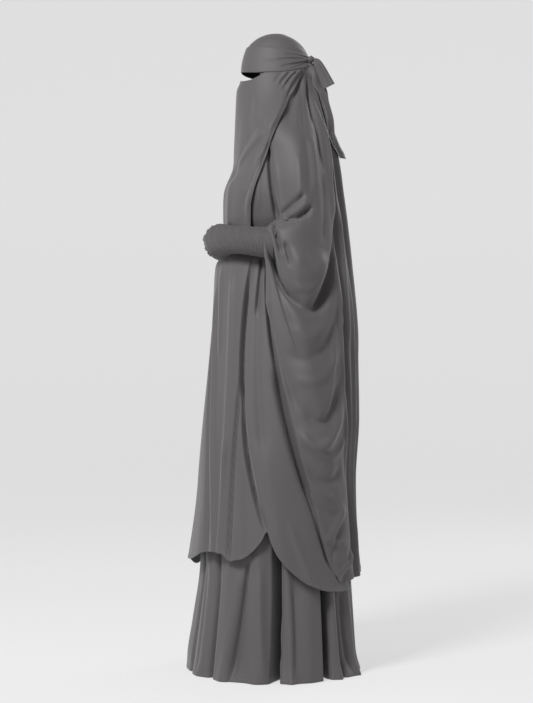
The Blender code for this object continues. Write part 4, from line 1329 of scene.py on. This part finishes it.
def short_tie_points():
    """The short end stands off to the back and widens as it hangs."""
    rows, columns = fine(SHORT_TIE_GRID)
    share = np.linspace(0.0, 1.0, rows)
    known = np.linspace(0.0, 1.0, len(SHORT_TIE))
    side_y, height, half = (smooth_lookup(known, [row[n] for row in SHORT_TIE], share) for n in range(3))
    z = height - ORIGIN_HEIGHT
    slope_y = np.gradient(side_y)
    slope_z = np.gradient(z)
    length = np.hypot(slope_y, slope_z)
    across = np.stack([np.zeros(rows), -slope_z / length, slope_y / length], axis=-1)
    side_x = SHORT_TIE_SIDE + SHORT_TIE_SWING * share + SHORT_TIE_WAVE * np.sin(SHORT_TIE_WAVE_TURN * share)
    middle = np.stack([side_x, side_y, z], axis=-1)
    return strip_points(middle, across, half, np.array([SHORT_TIE_CREST, 0.0, 0.0]), columns)


def long_tie_points():
    """The long end hangs on edge: its near edge lies by the drape and its far edge stands off."""
    rows, columns = fine(LONG_TIE_GRID)
    share = np.linspace(0.0, 1.0, rows)
    known = np.linspace(0.0, 1.0, len(LONG_TIE))
    height, angle, off, direction, width = (
        smooth_lookup(known, [row[n] for row in LONG_TIE], share)[:, None] for n in range(5))
    near = to_point(drape_radius(height, angle) + off + LONG_TIE_CLEARANCE, angle, height)
    turn = np.radians(direction)
    outward = np.stack([np.sin(turn), -np.cos(turn), np.zeros_like(turn)], axis=-1)
    face = np.stack([np.cos(turn), np.sin(turn), np.zeros_like(turn)], axis=-1)
    across = np.linspace(0.0, 1.0, columns)[None, :, None]
    down = share[:, None, None]
    wave_across, wave_down = LONG_TIE_FLUTE_WAVES
    flutes = LONG_TIE_FLUTE * np.cos(across * wave_across + wave_down * down)
    flutes = flutes * ease(down / LONG_TIE_FLUTE_START)
    curl = LONG_TIE_CURL * ease((down - LONG_TIE_CURL_START) / (1 - LONG_TIE_CURL_START)) * across
    return near + outward * width[..., None] * across + face * (flutes + curl)


class JILBAB_OT_ties(bpy.types.Operator):
    """Knot the band at the back of the head and let its two ends hang"""
    bl_idname = "jilbab.ties"
    bl_label = "Knot and ties"

    def execute(self, context):
        points = knot_points()
        mesh = grid_mesh("knot", points[::-1], True)
        knot = add_piece("knot", mesh, crepe(), ("band_knot",))
        close_poles(knot, points.shape[1])
        short = cloth_piece("short_tie", short_tie_points(), "tie_short")
        long_end = cloth_piece("long_tie", long_tie_points(), "tie_long")
        return {"FINISHED"}


def close_poles(piece, count):
    """Fill the two small end rings of a rounded piece."""
    shape = bmesh.new()
    shape.from_mesh(piece.data)
    open_edges = [edge for edge in shape.edges if edge.is_boundary]
    bmesh.ops.holes_fill(shape, edges=open_edges, sides=count)
    bmesh.ops.recalc_face_normals(shape, faces=shape.faces)
    shape.to_mesh(piece.data)
    shape.free()
    piece.data.shade_smooth()


def cuff_line(count):
    """Centre points of the left cuff from the sleeve mouth to the wrist."""
    share = np.linspace(0.0, 1.0, count)[:, None]
    start, pull, end = (np.array(point) for point in (CUFF_START, CUFF_PULL, CUFF_END))
    return bent_line(share, start, pull, end) - np.array([0.0, 0.0, ORIGIN_HEIGHT])


def clear_of_cuffs(points, clearance):
    """Press cloth aside where it would come nearer to a cuff than the clearance."""
    line = cuff_line(CUFF_LINE_POINTS)
    radii = read(CUFF_RADII, np.linspace(0, 1, len(line)), 1)
    pressed = points.copy()
    for side in (1.0, -1.0):
        centres = line * np.array([side, 1.0, 1.0])
        band = np.abs(pressed[..., 2] - centres[:, 2].mean()) < CUFF_REACH_HEIGHT
        near = pressed[band]
        distance = np.linalg.norm(near[:, None, :] - centres, axis=-1) - radii
        nearest = np.argmin(distance, axis=-1)
        closest = np.min(distance, axis=-1)
        inward = -centres[nearest]
        inward[:, 2] = 0.0
        inward /= np.linalg.norm(inward, axis=-1, keepdims=True)
        needed = np.clip(clearance - closest, 0.0, None)
        pressed[band] = near + inward * needed[:, None]
    return pressed


def veil_points():
    """Rows of the veil from the band, round the eye slit, to its lower hem over the forearms."""
    rows, columns = fine(VEIL_GRID)
    share_down = rows_to_hem(rows, VEIL_LENGTH)
    edge_top, edge_bottom = VEIL_EDGE[0][0], VEIL_EDGE[-1][0]
    edge = read(VEIL_EDGE, edge_top + (edge_bottom - edge_top) * share_down, 1)
    even = np.linspace(-1.0, 1.0, columns)
    angle = edge[:, None] * (even - VEIL_CROWDING * crowded(even))
    side = np.abs(angle)
    slit = EYE_SLIT_DEPTH * (1 - np.clip(side / EYE_SLIT_ANGLE, 0.0, 1.0) ** EYE_SLIT_POWER)
    top = read(BAND_EDGES, side, 2) - SEAM_GAP - slit
    height = top + (edge_bottom - top) * share_down[:, None]
    radius = veil_radius(height, angle) + hem_fold(height - edge_bottom)
    return clear_of_cuffs(to_point(radius, angle, height), CUFF_CLEARANCE)


def front_points():
    """Rows of the front panel from the chest to its hem, with close columns where folds are deep."""
    rows, half_columns = fine(FRONT_GRID)
    share_down = rows_to_hem(rows, FRONT_LENGTH)
    top = FRONT_EDGE[0][0]
    edge = read(FRONT_EDGE, top + (FRONT_EDGE[-1][0] - top) * share_down, 1)
    known = np.linspace(0, 1, len(FRONT_COLUMNS))
    half = smooth_lookup(known, FRONT_COLUMNS, np.linspace(0, 1, half_columns))
    angle = edge[:, None] * np.concatenate([-half[:0:-1], half])
    hem = hem_height(FRONT_HEM, angle)
    height = top + (hem - top) * share_down[:, None]
    radius = front_surface(height, angle) + hem_fold(height - hem)
    return clear_of_cuffs(to_point(radius, angle, height), PANEL_CUFF_CLEARANCE)


class JILBAB_OT_front(bpy.types.Operator):
    """Hang the face veil from the band and the front panel below it"""
    bl_idname = "jilbab.front"
    bl_label = "Veil and front panel"

    def execute(self, context):
        veil = cloth_piece("veil", veil_points(), "face_veil")
        front = cloth_piece("front_panel", front_points(), "cape_front")
        return {"FINISHED"}


def back_points():
    """Rows of the back panel from the hood's seam to its hem, from one front edge to the other."""
    rows, columns = fine(BACK_GRID)
    share_down = rows_to_hem(rows, BACK_LENGTH)
    top = HOOD_SEAM_HEIGHT - 2 * SEAM_GAP
    edge = read(DRAPE_EDGE, top + (DRAPE_EDGE[-1][0] - top) * share_down, 1)[:, None]
    even = np.linspace(0.0, 1.0, columns)
    angle = edge + (360.0 - 2 * edge) * (even - DRAPE_CROWDING * crowded(even))
    hem = hem_height(DRAPE_HEM, angle)
    height = top + (hem - top) * share_down[:, None]
    radius = drape_radius(height, angle) + hem_fold(height - hem)
    return to_point(radius, angle, height)


class JILBAB_OT_back(bpy.types.Operator):
    """Drape the back and the arms in one wide panel"""
    bl_idname = "jilbab.back"
    bl_label = "Back and arm drape"

    def execute(self, context):
        back = cloth_piece("back_drape", back_points(), "cape_back")
        return {"FINISHED"}


def cuff_frame(side, rows):
    """Centre line of a cuff with the directions across and up from it, and its radii."""
    line = cuff_line(rows) * np.array([side, 1.0, 1.0])
    along = np.gradient(line, axis=0)
    along /= np.linalg.norm(along, axis=1, keepdims=True)
    across = np.cross(along, (0.0, 0.0, 1.0))
    across /= np.linalg.norm(across, axis=1, keepdims=True)
    upward = np.cross(across, along)
    radii = read(CUFF_RADII, np.linspace(0, 1, rows), 1)
    return line, across, upward, radii


def shirring_wave(turn):
    """How far the rows of elastic stray along the cuff, in rows, round its girth."""
    return sum(size * np.sin(count * turn + phase) for count, phase, size in SHIRRING_STRAY)


def row_wave(turn, row, wave):
    """A wave round the cuff that is moved along from row to row."""
    count, drift, size = wave
    return size * np.sin(turn * count + row * drift)


def pleat_height(turn, row):
    """Height of the shirring's pleats, 0 to 1. They shift and weaken otherwise in every row."""
    drift, phase, size = PLEAT_SHIFT
    wander = size * np.sin(row * drift + phase) + row_wave(turn, row, PLEAT_WANDER)
    strength = 1 - PLEAT_STRENGTH[2] + row_wave(turn, row, PLEAT_STRENGTH)
    swell = 1 - PLEAT_SWELL[2] + row_wave(turn, row, PLEAT_SWELL)
    pleats = 0.5 + 0.5 * strength * np.sin(turn * SHIRRING_PLEATS + wander)
    return (PLEAT_FLOOR + (1 - PLEAT_FLOOR) * pleats) * swell


def wrist_ruffle(turn, from_end):
    """Uneven scallops of the cuff's end at the wrist."""
    scallops = sum(size * np.sin(turn * count + stray * np.sin(turn * strays))
                   for count, stray, strays, size in RUFFLE_WAVES)
    return RUFFLE_DEPTH * scallops * ease(1 - from_end / RUFFLE_LENGTH)


def cuff_points(side):
    """A shirred tube: small pleats puff out between the rows of elastic thread."""
    rows, columns = fine(CUFF_GRID)
    line, across, upward, radii = cuff_frame(side, rows)
    turn = np.linspace(0.0, 2 * math.pi, columns, endpoint=False)
    share = np.linspace(0.0, 1.0, rows)[:, None]
    lengthwise = share * CUFF_LENGTH / SHIRRING_ROW + shirring_wave(turn)
    puff = np.abs(np.sin(math.pi * lengthwise)) ** PUFF_POWER
    depth = SMOCK_DEPTH * puff * pleat_height(turn, np.floor(lengthwise))
    ruffle = wrist_ruffle(turn, (1.0 - share) * CUFF_LENGTH)
    spokes = (across[:, None, :] * np.cos(turn)[None, :, None]
              + upward[:, None, :] * np.sin(turn)[None, :, None])
    outside = line[:, None, :] + spokes * (radii[:, None] - CUFF_OUTSIDE + depth + ruffle)[..., None]
    inside = line[:, None, :] + spokes * (radii[:, None] - CUFF_INSIDE + ruffle)[..., None]
    kept = np.linspace(rows - 1, 0, rows // INSIDE_COARSENESS).round().astype(int)
    return np.concatenate([outside, inside[kept], outside[:1]], axis=0)


class JILBAB_OT_cuffs(bpy.types.Operator):
    """Shirr the two cuffs along the forearms"""
    bl_idname = "jilbab.cuffs"
    bl_label = "Smocked cuffs"

    def execute(self, context):
        for name, side in (("left", 1.0), ("right", -1.0)):
            mesh = grid_mesh(name + "_cuff", cuff_points(side)[::-1], True)
            weld_and_face_out(mesh)
            cuff = add_piece(name + "_cuff", mesh, smocked_crepe_painted_shade(), ("cuff_" + name,))
        return {"FINISHED"}


def weld_and_face_out(mesh):
    """Join the ends of a closed tube and turn all its faces outwards."""
    shape = bmesh.new()
    shape.from_mesh(mesh)
    bmesh.ops.remove_doubles(shape, verts=shape.verts, dist=WELD_DISTANCE)
    bmesh.ops.recalc_face_normals(shape, faces=shape.faces)
    shape.to_mesh(mesh)
    shape.free()
    mesh.shade_smooth()


def skirt_points(first, last, lap=0.0):
    """One skirt panel. A lap runs its side edges a little under the other panel."""
    upper_rows, lower_rows, columns = fine(SKIRT_GRID)
    rows = np.concatenate([np.linspace(SKIRT_TOP, SKIRT_FINE_TOP, upper_rows),
                           np.linspace(SKIRT_FINE_TOP, 0.0, lower_rows)[1:]])
    share_down = (SKIRT_TOP - rows) / SKIRT_TOP
    hem = hem_rows(SKIRT_TOP)
    share_down = np.concatenate([share_down[share_down < hem[0]], hem])
    angle = np.linspace(first - lap, last + lap, columns)[None, :] + np.zeros((len(share_down), 1))
    height = SKIRT_TOP * (1 - share_down)[:, None] + np.zeros_like(angle)
    to_edge = np.minimum(angle - first, last - angle)
    tucked = SEAM_TUCK * ease((lap - to_edge) / SEAM_LAP) if lap else 0.0
    radius = skirt_radius(height, angle) + hem_fold(height) - tucked
    return to_point(radius, turned_under(height, angle, radius), height)


def waistband_points():
    """Rows round the waistband, gathered between its channels of elastic."""
    rows, columns = fine(WAISTBAND_GRID)
    angles = np.linspace(0.0, 360.0, columns, endpoint=False)
    share = np.linspace(0.0, 1.0, rows)[:, None]
    height = SKIRT_TOP + SEAM_GAP + WAISTBAND_HEIGHT * (1 - share) + np.zeros_like(angles)
    angle = angles[None, :] + np.zeros_like(height)
    between = np.abs(np.sin(WAISTBAND_CHANNELS * math.pi * share))
    gathers = WAISTBAND_GATHER * between * np.sin(np.radians(angle * WAISTBAND_GATHERS))
    radius = ring_radius(SKIRT_SECTIONS, np.full_like(height, SKIRT_TOP), angle) + gathers
    return to_point(radius, angle, height)


class JILBAB_OT_skirt(bpy.types.Operator):
    """Gather the two skirt panels into the waistband"""
    bl_idname = "jilbab.skirt"
    bl_label = "Skirt"

    def execute(self, context):
        left, right = SKIRT_SEAMS
        gap = math.degrees(SEAM_GAP / SKIRT_SECTIONS[0][3])
        points = skirt_points(right + gap, left - gap, SEAM_LAP)
        front = cloth_piece("skirt_front_panel", points, "skirt_front")
        points = skirt_points(left + gap, 360 + right - gap)
        back = cloth_piece("skirt_back_panel", points, "skirt_back")
        band = cloth_piece("waistband", waistband_points(), "skirt_waistband", True, WAISTBAND_WALL)
        return {"FINISHED"}


def stitch_tree(material):
    """Stitches laid end to end along a line: resample it, lay a short thread on each point."""
    tree = bpy.data.node_groups.new("stitches", "GeometryNodeTree")
    face = tree.interface
    face.new_socket("Geometry", in_out="INPUT", socket_type="NodeSocketGeometry")
    for name in ("Pitch", "Length", "Thread"):
        face.new_socket(name, in_out="INPUT", socket_type="NodeSocketFloat")
    face.new_socket("Geometry", in_out="OUTPUT", socket_type="NodeSocketGeometry")
    inputs = node(tree, "NodeGroupInput")
    lines = node(tree, "GeometryNodeMeshToCurve", [("Mesh", inputs.outputs["Geometry"])])
    spaced = node(tree, "GeometryNodeResampleCurve",
                  [("Curve", lines.outputs["Curve"]), ("Length", inputs.outputs["Pitch"])], mode="LENGTH")
    points = node(tree, "GeometryNodeCurveToPoints", [("Curve", spaced.outputs["Curve"])], mode="EVALUATED")
    ball = node(tree, "GeometryNodeMeshIcoSphere", Radius=0.5, Subdivisions=1)
    width = node(tree, "ShaderNodeMath", [(0, inputs.outputs["Thread"])], operation="MULTIPLY")
    width.inputs[1].default_value = 2.0
    size = node(tree, "ShaderNodeCombineXYZ", [("X", width.outputs[0]), ("Y", width.outputs[0]),
                                               ("Z", inputs.outputs["Length"])])
    laid = node(tree, "GeometryNodeInstanceOnPoints",
                [("Points", points.outputs["Points"]), ("Instance", ball.outputs["Mesh"]),
                 ("Rotation", points.outputs["Rotation"]), ("Scale", size.outputs["Vector"])])
    real = node(tree, "GeometryNodeRealizeInstances", [("Geometry", laid.outputs["Instances"])])
    dyed = node(tree, "GeometryNodeSetMaterial", [("Geometry", real.outputs["Geometry"])])
    dyed.inputs["Material"].default_value = material
    node(tree, "NodeGroupOutput", [("Geometry", dyed.outputs["Geometry"])])
    return tree


def polyline_object(name, lines):
    """Loose edges through several lines of points."""
    points = np.concatenate(lines)
    edges = []
    start = 0
    for line in lines:
        edges += [(start + n, start + n + 1) for n in range(len(line) - 1)]
        start += len(line)
    mesh = bpy.data.meshes.new(name)
    mesh.from_pydata([tuple(p) for p in points], edges, [])
    guide = bpy.data.objects.new(name, mesh)
    bpy.context.scene.collection.objects.link(guide)
    return guide


def sew(name, lines, tree, apart=1.0):
    """Turn guide lines into one plain mesh of stitches."""
    settings = bpy.context.scene.jilbab_stitching
    guide = polyline_object(name + "_guide", lines)
    modifier = guide.modifiers.new("stitches", "NODES")
    modifier.node_group = tree
    values = {"Pitch": settings.pitch * apart, "Length": settings.length * apart, "Thread": settings.thread}
    for item in tree.interface.items_tree:
        if item.in_out == "INPUT" and item.name in values:
            modifier[item.identifier] = values[item.name]
    bpy.context.view_layer.update()
    evaluated = guide.evaluated_get(bpy.context.evaluated_depsgraph_get())
    mesh = bpy.data.meshes.new_from_object(evaluated)
    bpy.data.objects.remove(guide, do_unlink=True)
    mesh.name = name
    mesh.shade_smooth()
    return add_piece(name, mesh, thread(), ())


def surface_line(surface, angle, height, lift=THREAD_LIFT):
    """A line of points a little above a surface."""
    return to_point(surface(height, angle) + lift, angle, height)


def sewing_lines():
    """Where thread shows on plain cloth: along the hems and both edges of the band."""
    lines = {}
    for name, surface, hem, first, last, count in (
            ("front_hem_stitches", front_surface, FRONT_HEM, -126, 126, 500),
            ("back_hem_stitches", drape_radius, DRAPE_HEM, 130, 230, 300),
            ("skirt_hem_stitches", skirt_radius, None, 0, 360, 700)):
        angle = np.linspace(first, last, count)
        lower_edge = hem_height(hem, angle) if hem else np.zeros_like(angle)
        lines[name] = [surface_line(surface, angle, lower_edge + NEEDLE_LINE, HEM_LIFT - THREAD_SINK)]
    angle = np.linspace(0, 360, 400)
    side = np.abs(wrapped(angle))
    lines["band_stitches"] = [
        surface_line(band_radius, angle, read(BAND_EDGES, side, 1) - BAND_STITCH_INSET),
        surface_line(band_radius, angle, read(BAND_EDGES, side, 2) + BAND_STITCH_INSET),
    ]
    return lines


def shirring_lines(side):
    """Rings of elastic thread, one in each groove of the cuff."""
    line, across, upward, radii = cuff_frame(side, ELASTIC_PLACES)
    last = ELASTIC_PLACES - 1
    turn = np.linspace(0.0, 2 * math.pi, ELASTIC_POINTS)
    rings = []
    for ring in range(1, int(CUFF_LENGTH / SHIRRING_ROW) + 1):
        along = (ring - shirring_wave(turn)) * SHIRRING_ROW / CUFF_LENGTH
        place = np.clip(along * last, 0, last).round().astype(int)
        spokes = across[place] * np.cos(turn)[:, None] + upward[place] * np.sin(turn)[:, None]
        rings.append(line[place] + spokes * (radii[place] - ELASTIC_INSET)[:, None])
    return rings


class JILBAB_OT_sewing(bpy.types.Operator):
    """Run the hem stitches and the shirring thread"""
    bl_idname = "jilbab.sewing"
    bl_label = "Sewing"

    def execute(self, context):
        tree = stitch_tree(thread())
        for name, lines in sewing_lines().items():
            sew(name, lines, tree)
        for name, side in (("left", 1.0), ("right", -1.0)):
            sew(name + "_shirring", shirring_lines(side), tree, ELASTIC_SPACING)
        return {"FINISHED"}


def studio_paper(colour, glow):
    """Seamless background paper, uncoated and matt, with a very faint tooth, evenly lit all round."""
    material, tree, shader = plain_material("studio_paper")
    place = node(tree, "ShaderNodeTexCoord")
    tooth = node(tree, "ShaderNodeTexNoise", [("Vector", place.outputs["Object"])], Scale=3.0, Detail=2.0)
    shaded = tuple(c * PAPER_SHADE for c in colour[:3]) + (1.0,)
    tone = blend_colours(tree, tooth.outputs["Fac"], shaded, tuple(colour))
    tree.links.new(tone, shader.inputs["Base Color"])
    set_inputs(shader, Roughness=0.9, Specular_IOR_Level=0.1, Emission_Color=(1.0, 1.0, 1.0, 1.0),
               Emission_Strength=glow)
    return material


def add_sweep(colour, glow):
    """A round studio sweep: a floor that curves up into a wall well behind every view."""
    flat = SWEEP_RADIUS - SWEEP_BEND
    profile = [(SWEEP_HOLE, 0.0), (flat, 0.0)]
    profile += [(flat + SWEEP_BEND * math.sin(a), SWEEP_BEND - SWEEP_BEND * math.cos(a))
                for a in np.linspace(SWEEP_BEND_START, math.pi / 2, SWEEP_BEND_STEPS)]
    profile += [(SWEEP_RADIUS, SWEEP_TOP)]
    angles = np.linspace(0.0, 2 * math.pi, SWEEP_TURNS, endpoint=False)
    rows = [[(r * math.cos(a), r * math.sin(a), FLOOR + h) for a in angles] for r, h in profile]
    mesh = grid_mesh("studio_sweep", np.array(rows), True)
    mesh.materials.append(studio_paper(colour, glow))
    sweep = bpy.data.objects.new("studio_sweep", mesh)
    bpy.context.scene.collection.objects.link(sweep)
    sweep.location.z = -SWEEP_DROP


def add_softbox(name, place, aim, size, power):
    """A soft white light of a size in metres, turned towards what it lights."""
    light = bpy.data.lights.new(name, "AREA")
    light.shape = "RECTANGLE"
    light.size, light.size_y = size
    light.energy = power
    box = bpy.data.objects.new(name, light)
    box.location = place
    box.rotation_euler = (Vector(aim) - Vector(place)).to_track_quat("-Z", "Y").to_euler()
    bpy.context.scene.collection.objects.link(box)


def add_camera(settings):
    """The camera stands level at the garment's left side."""
    data = bpy.data.cameras.new("camera")
    data.lens = settings.lens
    data.sensor_width = SENSOR_WIDTH
    data.sensor_fit = "AUTO"
    camera = bpy.data.objects.new("camera", data)
    camera.location = (settings.camera_distance, settings.aim, FLOOR + settings.camera_height)
    camera.rotation_euler = (math.pi / 2, 0.0, math.pi / 2)
    bpy.context.scene.collection.objects.link(camera)
    bpy.context.scene.camera = camera


class JILBAB_OT_stage(bpy.types.Operator):
    """Set the paper sweep, the soft lights and the camera"""
    bl_idname = "jilbab.stage"
    bl_label = "Stage"

    def execute(self, context):
        scene = context.scene
        settings = scene.jilbab_stage
        add_sweep(settings.backdrop, settings.glow)
        for name, (x, y, height), size, power in SOFTBOXES:
            add_softbox(name, (x, y, FLOOR + height), (0.0, 0.0, FLOOR + LIGHT_AIM_HEIGHT), size, power)
        scene.world = bpy.data.worlds.new("studio")
        scene.world.use_nodes = True
        background = scene.world.node_tree.nodes["Background"]
        set_inputs(background, Color=(1.0, 1.0, 1.0, 1.0), Strength=WORLD_LIGHT)
        scene.view_settings.view_transform = "Standard"
        add_camera(settings)
        return {"FINISHED"}


class JILBAB_PT_panel(bpy.types.Panel):
    """Sidebar panel with every piece of the garment"""
    bl_idname = "JILBAB_PT_panel"
    bl_label = "Jilbab"
    bl_space_type = "VIEW_3D"
    bl_region_type = "UI"
    bl_category = "Jilbab"

    def draw(self, context):
        layout = self.layout
        for group in (context.scene.jilbab_cloth, context.scene.jilbab_stitching, context.scene.jilbab_stage):
            box = layout.box()
            for name in group.__annotations__:
                box.prop(group, name)
        for operator in OPERATORS:
            layout.operator(operator.bl_idname)


GROUPS = {"jilbab_cloth": JilbabCloth, "jilbab_stitching": JilbabStitching, "jilbab_stage": JilbabStage}
OPERATORS = (JILBAB_OT_hood, JILBAB_OT_ties, JILBAB_OT_front, JILBAB_OT_back, JILBAB_OT_cuffs,
             JILBAB_OT_skirt, JILBAB_OT_sewing, JILBAB_OT_stage)


def register():
    """Register the settings, operators and panel."""
    for name, group in GROUPS.items():
        bpy.utils.register_class(group)
        setattr(bpy.types.Scene, name, bpy.props.PointerProperty(type=group))
    for item in OPERATORS + (JILBAB_PT_panel,):
        bpy.utils.register_class(item)


def unregister():
    """Take the settings, operators and panel out again."""
    for item in (JILBAB_PT_panel,) + OPERATORS[::-1]:
        bpy.utils.unregister_class(item)
    for name, group in GROUPS.items():
        delattr(bpy.types.Scene, name)
        bpy.utils.unregister_class(group)


def main():
    """Register the add-on and build every piece in turn."""
    register()
    for operator in (bpy.ops.jilbab.stage, bpy.ops.jilbab.hood, bpy.ops.jilbab.ties, bpy.ops.jilbab.front,
                     bpy.ops.jilbab.back, bpy.ops.jilbab.cuffs, bpy.ops.jilbab.skirt, bpy.ops.jilbab.sewing):
        operator()


if __name__ == "__main__":
    main()
